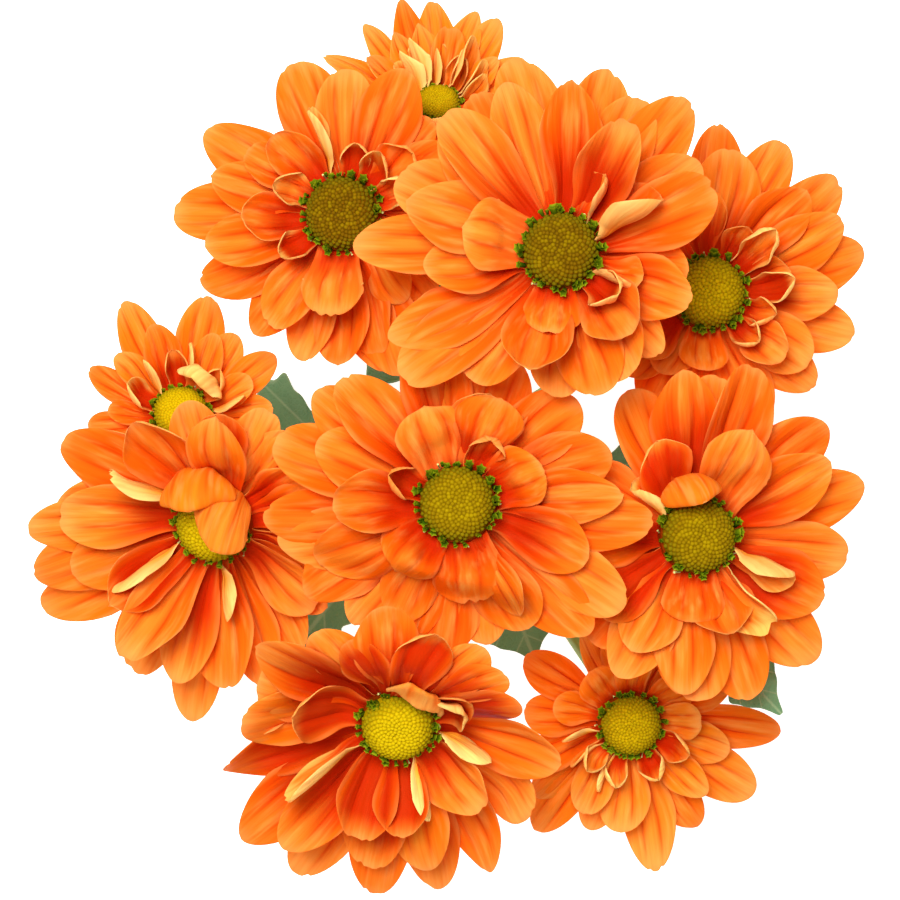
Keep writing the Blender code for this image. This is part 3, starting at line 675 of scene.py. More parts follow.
# More petals between those that the solids have, as pairs of direction and reach
FILLERS = {
    "upper_mid": {
        "outer": [(222, 40), (60, 31), (155, 33), (121, 32)],
        "middle": [(300, 27)], "lip": [(318, 12)], "spoon": [(312, 20)],
    },
    "low": {
        "outer": [(158, 30), (36, 24)], "middle": [(98, 24)], "lip": [(22, 11)],
    },
    "centre": {
        "outer": [(266, 29), (198, 36)], "middle": [(296, 28), (101, 33)], "dome": [(71, 25)],
        "lip": [(64, 12)],
    },
    "right": {
        "outer": [(222, 28), (265, 30), (185, 22)], "middle": [(215, 24)],
    },
    "left": {
        "outer": [(344, 28), (192, 32), (64, 24), (100, 24)], "middle": [(325, 25), (10, 22)],
        "inner": [(84, 21)],
    },
    "upper_left": {
        "outer": [(8, 21), (272, 28), (345, 22), (283, 30), (294, 32), (47, 24)],
        "middle": [(20, 18)],
        "lip": [(20, 11)],
    },
    "upper_right": {
        "outer": [(205, 20), (140, 22), (175, 20), (240, 24)], "middle": [(95, 20), (240, 18)],
        "lip": [(42, 12), (4, 12), (312, 9)],
    },
    "lower_right": {
        "outer": [(80, 19), (98, 18), (212, 22), (66, 18)], "inner": [(90, 11), (5, 12)],
        "quill": [(238, 9), (208, 10)],
    },
    "left_small": {
        "outer": [(300, 15)], "lip": [(330, 8)], "quill": [(130, 11)], "cap": [(52, 12)],
    },
    "top": {
        "outer": [(195, 15), (320, 14)],
        "lip": [(205, 9), (240, 10), (268, 10), (300, 10), (335, 9)],
        "quill": [(128, 11), (36, 11), (95, 9), (20, 8), (165, 9), (60, 13), (240, 8), (290, 8)],
    },
}
# Petals that fold or stand up: how their shape differs in the finished look
SHOWN_AS = {
    ("right", "hood"): "cap", ("left", "hood"): "cap", ("low", "hood"): "cap",
    ("centre", "hood"): "lip", ("upper_left", "hood"): "lip", ("upper_right", "hood"): "lip",
    ("lower_right", "hood"): "lip", ("left_small", "hood"): "lip", ("top", "hood"): "lip",
    ("centre", "quill"): "blade", ("upper_mid", "quill"): "curled", ("right", "quill"): "curled",
}
# A turn in degrees, a share of the length and a fall to one side as a share of the length
NUDGED = {
    ("left", "over"): (-3, 0.95, -0.2), ("left", "cap"): (-10, 1.4, 0.0),
    ("right", "cap"): (8, 1.6, 0.0), ("low", "cap"): (-14, 0.8, -0.1),
}
# Which layer each kind of petal is in, from below, where petals of two heads press together
LAYERS = {"outer": 0, "middle": 1, "spoon": 1.6}
TOP_LAYER = 2.2
# How much wider or narrower than in other heads
WIDER = {
    ("top", "quill"): 1.5, ("low", "cap"): 1.1, ("left", "cap"): 1.3, ("left", "over"): 1.3,
    ("centre", "inner"): 1.15, ("upper_mid", "inner"): 1.15, ("right", "inner"): 1.15,
    ("upper_mid", "curled"): 1.2,
}
# How much slimmer than its solid a finished petal may be, least and most, as a share
SLIM = {
    "outer": (0.86, 1.0), "middle": (0.86, 1.0), "spoon": (0.92, 1.0), "quill": (0.75, 1.0),
    "blade": (0.76, 0.82),
}
# How much more or less cupped than its solid, or how far arched the other way
CUPPED = {"outer": (-0.5, 2.0), "middle": (0.0, 2.2), "spoon": (0.8, 1.4), "over": (0.8, 1.0)}
# How pointed a petal's tip may be, at most, as a share
POINTED = {"top": 0.8}
# Petals that roll over from their other edge
ROLLED_BACK = {("upper_mid", "curled"), ("left", "quill")}
# How far the dark red of the claws runs out along the petals of each kind: partly the
# claws' own red, partly painted shade in the cups and between the petals
CLAW_RED_AND_SHADE_BY_KIND = {"outer": 0.55, "middle": 0.95, "spoon": 1.1, "inner": 0.6, "lip": 1.5, "cap": 0.0}
# Petals whose reverse has a paleness of its own
PALER = {
    ("left_small", "cap"): 0.8, ("low", "cap"): 0.3, ("upper_mid", "curled"): 0.55,
    ("centre", "lip"): 0.25,
}


def ray_petal(piece, head, grown, draw):
    """One thin petal. Its lengthwise lines fan out from the claw, which runs on into the pad, and
    end at an oval tip with a nick or two. Two pleats, each a Gaussian across the petal, dents of
    slow sines, frilled edges and a curled tip are added to the sheet along its normals."""
    kind, here = grown.kind, (head.name, grown.kind)
    short = grown.length < SHORT_PETAL
    grown.cup = draw.uniform(*CUPPED.get(kind, (0.9, 1.15)))
    turn, share, fall = NUDGED.get(here, (0, 1, 0))
    grown.azimuth += turn
    grown.length *= share
    grown.sway += fall
    grown.roll += draw.uniform(-20, 20) if kind in ROLLED else 0
    grown.roll *= -1 if here in ROLLED_BACK else 1
    claw = grown.style.claw
    pale = PALER.get(here, grown.style.pale * draw.uniform(0.6, 1.0))
    # How far this petal's claw red runs out: partly its own colour, partly painted shade
    deep = head.deep * CLAW_RED_AND_SHADE_BY_KIND.get(kind, 0.6) * draw.uniform(0.3, 1.1)
    grown.width *= WIDER.get(here, 1.0)
    whole = 0.0 if kind in ("cap", "over") else 1.0
    rows, columns = SHORT_GRID if short else LONG_GRID
    u = 1 - (1 - np.linspace(0, 1, rows)) ** 1.35
    u = np.append(np.array([-1, -0.5]) * CLAW_INSIDE / grown.length, u)
    v = np.sin(np.linspace(-np.pi / 2, np.pi / 2, columns))
    notches = np.maximum(draw.uniform(-0.02, 0.024, 2), 0) * whole
    places = draw.uniform(0.1, 0.4, 2) * (-1, 1)
    end = petal_end(v)
    for depth, place in zip(notches, places):
        end = end - depth * np.exp(-(((v - place) / NOTCH_WIDTH) ** 2))
    s = u[:, None] * end[None, :]
    line = petal_rise(WIDEST_AT * u, claw)[:, None] * v[None, :]
    across = np.clip(line / np.maximum(petal_outline(s, claw), 1e-6), -1, 1)
    slim = draw.uniform(*SLIM.get(kind, (0.95, 1.0)))
    point = draw.uniform(0, POINTED.get(head.name, 0.3)) * whole
    point = point * np.clip((s - WIDEST_AT) / (1 - WIDEST_AT), 0, 1)
    points = petal_sheet(head, grown, s, across * slim * (1 - point))
    flat = np.broadcast_to(v, s.shape)
    shown = np.sin(np.pi * np.clip(s, 0, 1)) ** 0.6
    pleats = GROOVE_AT * draw.uniform(0.75, 1.3, 2) * (-1, 1)
    sunk = draw.uniform(0.6, 1.4, 2) * GROOVE_DEPTH
    relief = 0.0
    for depth, place in zip(sunk, pleats):
        relief = relief - shown * depth * np.exp(-(((flat - place) / GROOVE_WIDTH) ** 2))
    phase = draw.uniform(0, 2 * np.pi, 4)
    dents = np.sin(6.1 * s + 2.2 * flat + phase[2]) + 0.7 * np.sin(4.3 * s - 3.6 * flat + phase[3])
    relief = relief + DENTS * MM * dents * shown
    frill = np.sin(9 * s + np.where(flat < 0, phase[0], phase[1]))
    edges = (FRILLS * frill + draw.uniform(*EDGE_CURL)) * MM * np.abs(flat) ** 3
    relief = relief + edges * shown
    tip = np.clip((s - WIDEST_AT) / (1 - WIDEST_AT), 0, 1) ** 2
    relief = relief + draw.uniform(*TIP_CURL) * whole * MM * tip
    share = min(1, grown.width / (10 * MM)) * (0.5 if short else 1.0)
    points = points + sheet_normals(points) * (relief * share)[..., None]
    points = bent_clear(head, on_head(head, points), LAYERS.get(kind, TOP_LAYER))
    blade(
        piece, points, PETAL_THICKNESS, along=s, across=flat, tone=draw.uniform(),
        gold=head.gold, pale=pale, pad=0.0, deep=deep,
    )


def rays(head, finish):
    """All the petals of a head and the pad that they root in, which is wider below."""
    piece = Piece(f"{head.name}_rays")
    draw = np.random.default_rng(head.seed + 1000)
    points, faces = turned(np.array(PAD) * MM, 36)
    piece.add(
        on_head(head, points * head.disc), faces,
        along=0.03, across=0.5, tone=0.5, gold=head.gold, pale=0.0, pad=1.0, deep=0.0,
    )
    for petals, seed in ((head.petals, head.seed), (FILLERS[head.name], head.seed + 500)):
        for grown in petals_of(head, petals, seed):
            ray_petal(piece, head, grown, draw)
    piece.make(finish, "petal_orange", f"{head.name}_petals")


# The discs

DISC_RADIUS = 6.9 * MM
DISC_FOOT = 6.6 * MM
UNDER_BUDS = 0.05 * MM
BUDS = 270
CUPS = 36
STYLES_SHOWN = 4
GOLDEN_TURN = math.pi * (3 - math.sqrt(5))


def dome_height(share):
    """The disc's height at a share of its radius: a flat-topped oval with a shallow dimple."""
    rise = 0.95 * (1 - np.clip(share, 0, 1) ** 3.5) ** 0.526
    return BUTTON_HEIGHT * (rise - 0.07 * np.exp(-((share / 0.3) ** 2)))


def ring(count, wobble, draw):
    """Directions round a disc: even steps, each off by up to a share of one."""
    return outward((np.arange(count) + draw.uniform(-wobble, wobble, count)) * (2 * np.pi / count))


def buds(plant, draw):
    """Unopened florets, packed on a spiral of golden turns over the dome."""
    number = np.arange(BUDS)
    share = ((number + 0.6) / BUDS) ** 0.52 * draw.uniform(0.985, 1.0, BUDS)
    angle = number * GOLDEN_TURN + draw.uniform(-0.9, 0.9, BUDS) / (7 + np.sqrt(number) * 2.4)
    step = 0.01
    slope = (dome_height(np.minimum(share + step, 0.995)) - dome_height(share - step)) / (
        2 * step * DISC_RADIUS
    )
    out = outward(angle)
    places = out * (DISC_RADIUS * 0.985 * share)[:, None] + UP * dome_height(share)[:, None]
    normals = unit(UP - out * np.clip(slope, -2.2, 0.4)[:, None])
    sizes = (0.41 + 0.05 * share) * draw.uniform(0.9, 1.1, BUDS)
    plant(
        turned([(0, 0.62), (0.7, 0.42), (1.12, -0.25), (0, -0.9)], 8), places, normals, sizes,
        draw.uniform(0, 6.28, BUDS), tone=share, side=draw.uniform(0, 1, BUDS),
    )


def open_cups(plant, draw):
    """The opened outermost florets: small five-lobed green cups, hollow at the top, that stand
    unevenly round the disc."""
    out = ring(CUPS, 0.95, draw)
    radius = DISC_RADIUS + draw.uniform(-0.4, 0.8, CUPS) * MM
    places = out * radius[:, None] + UP * draw.uniform(0.2, 1.5, CUPS)[:, None] * MM
    lift = np.radians(draw.uniform(35, 78, CUPS))
    aside = np.cross(out, UP) * draw.uniform(-0.4, 0.4, CUPS)[:, None]
    normals = unit(out * np.cos(lift)[:, None] + UP * np.sin(lift)[:, None] + aside)
    profile = [(0, -0.9), (0.55, 0.1), (1.0, 0.9), (0.82, 0.2), (0.62, -1.6), (0, -1.7)]
    plant(
        turned(profile, 10, 5, [0.05, 0.22, 0.06, 0.0]), places, normals,
        draw.uniform(0.3, 0.9, CUPS), draw.uniform(0, 6.28, CUPS),
        tone=draw.uniform(0, 1, CUPS), side=0.0, fringe=1.0,
    )


def ray_styles(plant, draw):
    """The pale styles of the petals: slim pegs that stand out past the fringe here and there."""
    out = ring(STYLES_SHOWN, 0.5, draw)
    radius = DISC_RADIUS + draw.uniform(0.5, 1.0, STYLES_SHOWN) * MM
    places = out * radius[:, None] + UP * draw.uniform(-0.9, 0.1, STYLES_SHOWN)[:, None] * MM
    aside = np.cross(out, UP) * draw.uniform(-0.8, 0.8, STYLES_SHOWN)[:, None]
    profile = [(0, 1.7), (0.4, 1.5), (0.24, 0.9), (0.3, -1.5), (0, -1.5)]
    plant(
        turned(profile, 7), places, unit(out * 0.5 + UP + aside),
        draw.uniform(0.45, 0.65, STYLES_SHOWN), draw.uniform(0, 6.28, STYLES_SHOWN),
        tone=1.0, side=0.0, fringe=1.0, style=1.0,
    )


def disc_florets(head, finish):
    """A disc: a dome under packed buds, with a fringe of opened cups and a few styles."""
    piece = Piece(f"{head.name}_florets")
    draw = np.random.default_rng(head.seed + 2000)
    lean = lean_matrix(head.lean_to, head.lean)

    def on_disc(points):
        return on_head(head, (points + UP * SEAT_GAP / head.disc) * head.disc)

    def plant(shape, places, normals, sizes, turns, **marks):
        """Scatters a shape whose sizes are in mm over the disc."""
        sizes = sizes * MM * head.disc
        scattered(
            piece, shape, on_disc(places), normals @ lean.T, sizes, turns, fresh=head.fresh, **marks
        )

    shares = np.append(0, np.linspace(0.05, 0.999, 12))
    dome = [(DISC_RADIUS * 0.98 * share, dome_height(share) - UNDER_BUDS) for share in shares]
    points, faces = turned(dome + [(DISC_FOOT, 0), (0, 0)], 40)
    piece.add(
        on_disc(points), faces, along=0.25, tone=0.6, side=0.0, fringe=0.0, fresh=head.fresh
    )
    for florets in (buds, open_cups, ray_styles):
        florets(plant, draw)
    piece.make(finish, "disc_green", f"{head.name}_disc")


# The stem, its stalks and the cups under the heads

TRUNK_RINGS = 33
STALK_RINGS = 44
CUP_RADIUS = 6.9 * MM
# How high ribs and joints stand, as shares of the radius, and how wide a joint is
RIB = 0.05
JOINT = 0.07
JOINT_WIDTH = 2.2 * MM
# The scales of a cup: how many to a row, how thick, and each row's foot, tip and width in mm, the
# first two as radius and height above the cup's top
SCALES_ROUND = 13
SCALE_THICKNESS = 0.35 * MM
SCALE_ROWS = [
    ((2.6, -5.4), (6.5, -2.3), 2.0),
    ((4.9, -3.9), (8.3, -0.7), 2.3),
    ((6.3, -2.0), (9.7, 0.7), 2.6),
]


def stalk_line(head, count):
    """A stalk's route: out of the stem and up, then straight into the underside of its head, as
    a cubic curve of four points."""
    into = lean_matrix(head.lean_to, head.lean) @ UP
    depth = (RECEPTACLE_DEPTH + CALYX_DEPTH - 2 * MM) * head.disc + SEAT_GAP
    end = head_place(head) - into * depth
    start = SPRAY_SHIFT + UP * head.forks_at * MM
    side = end - start
    side[2] = 0
    rise = end[2] - start[2]
    first = start + side * 0.3 + UP * rise * 0.3
    second = end - into * max(10 * MM, rise * 0.35)
    t = np.linspace(0, 1, count)[:, None]
    return (
        (1 - t) ** 3 * start + 3 * t * (1 - t) ** 2 * first
        + 3 * t**2 * (1 - t) * second + t**3 * end
    )


def swelling(heights, places):
    """How much thicker a stem is at its joints: one Gaussian for each."""
    return 1 + JOINT * sum(np.exp(-(((heights - place) / JOINT_WIDTH) ** 2)) for place in places)


def scale(piece, head, foot, tip, angle, width, draw):
    """One green scale of a cup: a small pointed blade from a foot to a tip, both (radius, height)
    in the head's frame, bowed outwards by a sine."""
    u = np.linspace(0, 1, 6)
    v = np.linspace(-1, 1, 5)
    radius = foot[0] + (tip[0] - foot[0]) * u + 0.35 * MM * np.sin(np.pi * u)
    height = foot[1] + (tip[1] - foot[1]) * u
    half = width / 2 * np.maximum((1 - u**2.4) ** 0.8 * (0.7 + 0.5 * u), 0.04)
    turn = angle + draw.uniform(-0.06, 0.06)
    bow = half[:, None] * v[None, :] / radius[:, None]
    r = radius[:, None] + 0.12 * MM * (1 - v[None, :] ** 2)
    points = np.stack([
        r * np.cos(turn + bow), r * np.sin(turn + bow), np.broadcast_to(height[:, None], r.shape)
    ], axis=-1)
    points = on_head(head, points[:, ::-1] * head.disc)
    along = np.broadcast_to(u[:, None], r.shape)
    across = np.broadcast_to(v, r.shape)
    blade(
        piece, points, SCALE_THICKNESS, along=along, across=across, scale=1.0, tone=draw.uniform()
    )


def stalks(finish):
    """The ribbed stem with a flat cut foot, its stalks, and under each head a cup of three rows
    of scales."""
    piece = Piece("stalks_and_cups")
    draw = np.random.default_rng(7)
    crown = max(HEADS, key=lambda head: head.forks_at)
    straight = np.linspace(0, crown.forks_at * MM, TRUNK_RINGS + 1)[:-1]
    line = np.append(SPRAY_SHIFT + UP * straight[:, None], stalk_line(crown, STALK_RINGS), axis=0)
    leaving = STEM_RADIUS + (STALK_RADIUS - STEM_RADIUS) / 3
    lower = np.linspace(STEM_RADIUS, leaving, TRUNK_RINGS)
    radii = np.append(lower, np.linspace(leaving, STALK_RADIUS, STALK_RINGS))
    joints = [row.height * MM for row in LEAVES if row.grows_on == "stem"]
    joints += [head.forks_at * MM for head in HEADS]
    radii = radii * swelling(line[:, 2], joints)
    swept(piece, line, radii, 28, 7, across=0.0, scale=0.0, tone=0.5)
    for head in HEADS:
        if head is not crown:
            line = stalk_line(head, STALK_RINGS)
            radii = np.linspace(1.15, 1.0, STALK_RINGS) * STALK_RADIUS
            radii = radii * (1 + 0.5 * np.exp(-np.linspace(0, 9, STALK_RINGS)))
            swept(piece, line, radii, 20, 5, across=0.0, scale=0.0, tone=0.4)
        top = -RECEPTACLE_DEPTH - SEAT_GAP / head.disc
        neck = STALK_RADIUS / head.disc + 0.5 * MM
        t = np.linspace(0, 1, 10)
        rings = neck + (CUP_RADIUS - neck) * (1 - t**1.9) ** 0.75
        cup = [(0, top)] + list(zip(rings, top - CALYX_DEPTH * t)) + [(0, top - CALYX_DEPTH)]
        points, faces = turned(cup, 26)
        points = on_head(head, points * head.disc)
        piece.add(points, faces, along=0.4, across=0.0, scale=0.6, tone=0.5)
        for level, (*ends, width) in enumerate(SCALE_ROWS):
            foot, tip = np.array(ends) * MM + (0, top)
            for k in range(SCALES_ROUND):
                angle = 2 * np.pi * (k + level / 2) / SCALES_ROUND
                scale(piece, head, foot, tip, angle, width * MM, draw)
    piece.make(finish, "stem_green", "stem")


# The leaves


@dataclass
class Leaf:
    """A leaf: the stalk that it grows on and how high up, how far from that stalk's axis it
    starts, its compass direction, the length of its own stalk and of its blade, its width, the
    height at which it ends and the share of its length at which it gets there, in degrees and
    mm."""

    name: str
    grows_on: str
    height: float
    aside: float
    azimuth: float
    petiole: float
    blade: float
    width: float
    ends_at: float
    settles: float


RESTING = LEAF_THICKNESS / MM / 2
BESIDE_STEM = (STEM_RADIUS + SEAT_GAP) / MM
LEAVES = [
    Leaf("leaf_1", "stem", 21, BESIDE_STEM, 75, 16, 44, 25, RESTING, 0.62),
    Leaf("leaf_2", "stem", 20, BESIDE_STEM, 232, 16, 40, 24, RESTING, 0.62),
    Leaf("leaf_3", "stem", 16, BESIDE_STEM, 342, 15, 42, 25, RESTING, 0.62),
    Leaf("leaf_4", "stem", 18, BESIDE_STEM, 175, 15, 46, 25, RESTING, 0.62),
    Leaf("leaf_5", "stem", 13, BESIDE_STEM, 292, 14, 31, 22, RESTING, 0.62),
    Leaf("leaf_6", "stem", 14, BESIDE_STEM, 122, 15, 38, 23, RESTING, 0.62),
    Leaf("bract_1", "right", 64, 3.1, 313, 20, 33, 15, 76, 1.0),
    Leaf("bract_2", "upper_mid", 72, 2.1, 116, 7, 26, 14, 68, 1.0),
]
# Side veins to a blade, how far along it they run on their way to the margin, as a share of its
# half width, and the teeth of the margin
VEINS = 5
VEIN_SLANT = 0.34
TEETH = 11
TOOTH_DEPTH = 0.07
# How steeply a blade rises from its midrib, and how high, in mm, the quilt between its veins and
# the waves of its margin stand
TROUGH = 0.16
QUILT = 0.45
WAVES = 0.5


def leaf_outline(s):
    """Half width along a leaf blade, as a share: two pairs of rounded lobes and a blunt end."""
    body = np.sin(np.pi * np.clip(s, 0, 1) ** 0.8) ** 0.62
    return np.maximum(body * (0.74 + 0.26 * np.cos(2 * np.pi * (2.75 * s - 0.12))), 0.0)


def stalk_place(name, height):
    """The point in mm at which a stalk reaches a height."""
    if name == "stem":
        return SPRAY_SHIFT / MM + UP * height
    line = stalk_line(next(head for head in HEADS if head.name == name), 6) / MM
    return np.array([np.interp(height, line[:, 2], line[:, axis]) for axis in range(3)])


def leaf(row, finish):
    """A lobed blade on its own stalk that arches over from where it grows to where it ends, with
    a ridged midrib and side veins, and the blade between them raised as a rounded quilt."""
    piece = Piece(f"{row.name}_blade")
    draw = np.random.default_rng(len(row.name) * 31 + int(row.azimuth))
    root = stalk_place(row.grows_on, row.height)
    total = row.petiole + row.blade
    s = np.concatenate([np.linspace(-1.2 / total, row.petiole / total, 16)[:-1],
                        np.linspace(row.petiole / total, 0.995, 74)])
    t = np.clip((s * total - row.petiole) / row.blade, 0, 1)
    v = np.sin(np.linspace(-np.pi / 2, np.pi / 2, 27))
    fall = 1 - np.clip(s / row.settles, 0, 1) ** 1.6
    height = row.ends_at + (row.height - row.ends_at) * fall**1.2
    teeth = 1 + TOOTH_DEPTH * np.sin(2 * np.pi * TEETH * t) * np.sin(np.pi * t)
    half = np.maximum(leaf_outline(t) * row.width / 2 * teeth, PETIOLE_RADIUS / MM * (1 - 0.7 * t))
    y = half[:, None] * v[None, :]
    z = height[:, None] + np.abs(y) * TROUGH * np.clip(1 - s, 0, 1)[:, None]
    x = np.broadcast_to((row.aside + s * total)[:, None], y.shape)
    shown = np.sin(np.pi * np.clip(t, 0.0, 1))[:, None] ** 0.5
    vein = np.cos(2 * np.pi * VEINS * (t[:, None] - VEIN_SLANT * np.abs(y) / row.width * 2))
    quilt = QUILT * shown * (1 - vein) / 2 * np.clip(np.abs(y) / 3, 0, 1)
    wave = WAVES * shown * np.abs(v[None, :]) ** 2 * (1 + np.sin(11 * t[:, None] + 3 * np.sign(y)))
    z = z + quilt + wave * (0.3 if row.ends_at == RESTING else 1.0)
    points = np.stack([x, y, z], axis=-1) * MM
    points = spun(points, row.azimuth) + root * (1, 1, 0) * MM
    stout = np.clip(1 - t * 3, 0, 1)[:, None]
    thickness = LEAF_THICKNESS + (1.7 * PETIOLE_RADIUS - LEAF_THICKNESS) * stout
    blade(
        piece, points, thickness, along=np.broadcast_to(t[:, None], y.shape),
        across=y / (row.width / 2), rim=np.abs(v) * shown, tone=draw.uniform(),
    )
    piece.make(finish, "leaf_green", row.name)


# Finishes


class Value:
    """A number socket in a finish. An expression on values adds its Math nodes."""

    def __init__(self, finish, socket):
        self.finish, self.socket = finish, socket

    def math(self, operation, *others):
        """A Math node on this value and others."""
        inputs = dict(enumerate((self, *others)))
        return self.finish.node("ShaderNodeMath", {"operation": operation}, inputs)

    def __add__(self, other):
        return self.math("ADD", other)

    __radd__ = __add__

    def __mul__(self, other):
        return self.math("MULTIPLY", other)

    __rmul__ = __mul__

    def __sub__(self, other):
        return self.math("SUBTRACT", other)

    def __rsub__(self, other):
        return self.finish.node("ShaderNodeMath", {"operation": "SUBTRACT"}, {0: other, 1: self})

    def __truediv__(self, other):
        return self.math("DIVIDE", other)

    def __abs__(self):
        return self.math("ABSOLUTE")

    def bell(self, middle, wide):
        """A Gaussian of this value round middle."""
        off = (self - middle) / wide
        return (off * off * -1.0).math("EXPONENT")

    def rise(self, low, high):
        """0 up to low, 1 from high, and a smooth step between."""
        inputs = {"Value": self, "From Min": low, "From Max": high}
        return self.finish.node("ShaderNodeMapRange", {"interpolation_type": "SMOOTHSTEP"}, inputs)


class Finish:
    """A material and the nodes that make it."""

    def __init__(self, name):
        self.material = bpy.data.materials.new(name)
        self.material.use_nodes = True
        self.tree = self.material.node_tree
        self.shader = self.tree.nodes["Principled BSDF"]
        self.output = self.tree.nodes["Material Output"]

    def node(self, kind, settings=None, inputs=None, output=0):
        """Adds a node: its settings first, then the values or links of its sockets."""
        node = self.tree.nodes.new(kind)
        for name, value in (settings or {}).items():
            if name == "stops":
                ramp = node.color_ramp
                while len(ramp.elements) < len(value):
                    ramp.elements.new(1.0)
                for element, (place, colour) in zip(ramp.elements, value):
                    element.position = place
                    element.color = (*colour, 1)
            else:
                setattr(node, name, value)
        for name, value in (inputs or {}).items():
            self.set(node.inputs[name], value)
        return Value(self, node.outputs[output])

    def set(self, socket, value):
        if isinstance(value, Value):
            self.tree.links.new(value.socket, socket)
        elif isinstance(value, tuple) and len(value) == 3 and socket.type == "RGBA":
            socket.default_value = (*value, 1)
        else:
            socket.default_value = value

    def marks(self, *names):
        """The marks that the points of a piece carry, as values."""
        return [
            self.node("ShaderNodeAttribute", {"attribute_name": name}, output="Fac")
            for name in names
        ]

    def vector(self, x, y, z):
        return self.node("ShaderNodeCombineXYZ", {}, {"X": x, "Y": y, "Z": z})

    def place(self):
        return self.node("ShaderNodeTexCoord", output="Object")

    def noise(self, vector, scale, detail=3.0):
        inputs = {"Vector": vector, "Scale": scale, "Detail": detail}
        return self.node("ShaderNodeTexNoise", {}, inputs, output="Fac")

    def ramp(self, value, stops):
        return self.node("ShaderNodeValToRGB", {"stops": stops}, {"Fac": value}, output="Color")

    def mix(self, share, one, other):
        """Colour one, with other over it by a share."""
        inputs = {0: share, 6: one, 7: other}
        return self.node("ShaderNodeMix", {"data_type": "RGBA"}, inputs, output=2)

    def glazed(self, colour, *glazes):
        """A colour with others over it in turn, each by its share."""
        for share, other in glazes:
            colour = self.mix(share, colour, other)
        return colour

    def bump(self, height, distance, strength):
        inputs = {"Height": height, "Distance": distance, "Strength": strength}
        return self.node("ShaderNodeBump", {}, inputs)

    def surface(self, colour, roughness, bump=None, specular=0.35):
        """Sets what the material's shader reads."""
        self.set(self.shader.inputs["Base Color"], colour)
        self.set(self.shader.inputs["Roughness"], roughness)
        self.shader.inputs["Specular IOR Level"].default_value = specular
        if bump:
            self.set(self.shader.inputs["Normal"], bump)

    def lit_through(self, colour, share):
        """Lets a share of the light through, in one colour, as a thin petal or leaf does."""
        glow = self.node("ShaderNodeBsdfTranslucent", {}, {"Color": colour})
        shader = Value(self, self.shader.outputs[0])
        both = self.node("ShaderNodeMixShader", {}, {0: share, 1: shader, 2: glow})
        self.set(self.output.inputs["Surface"], both)


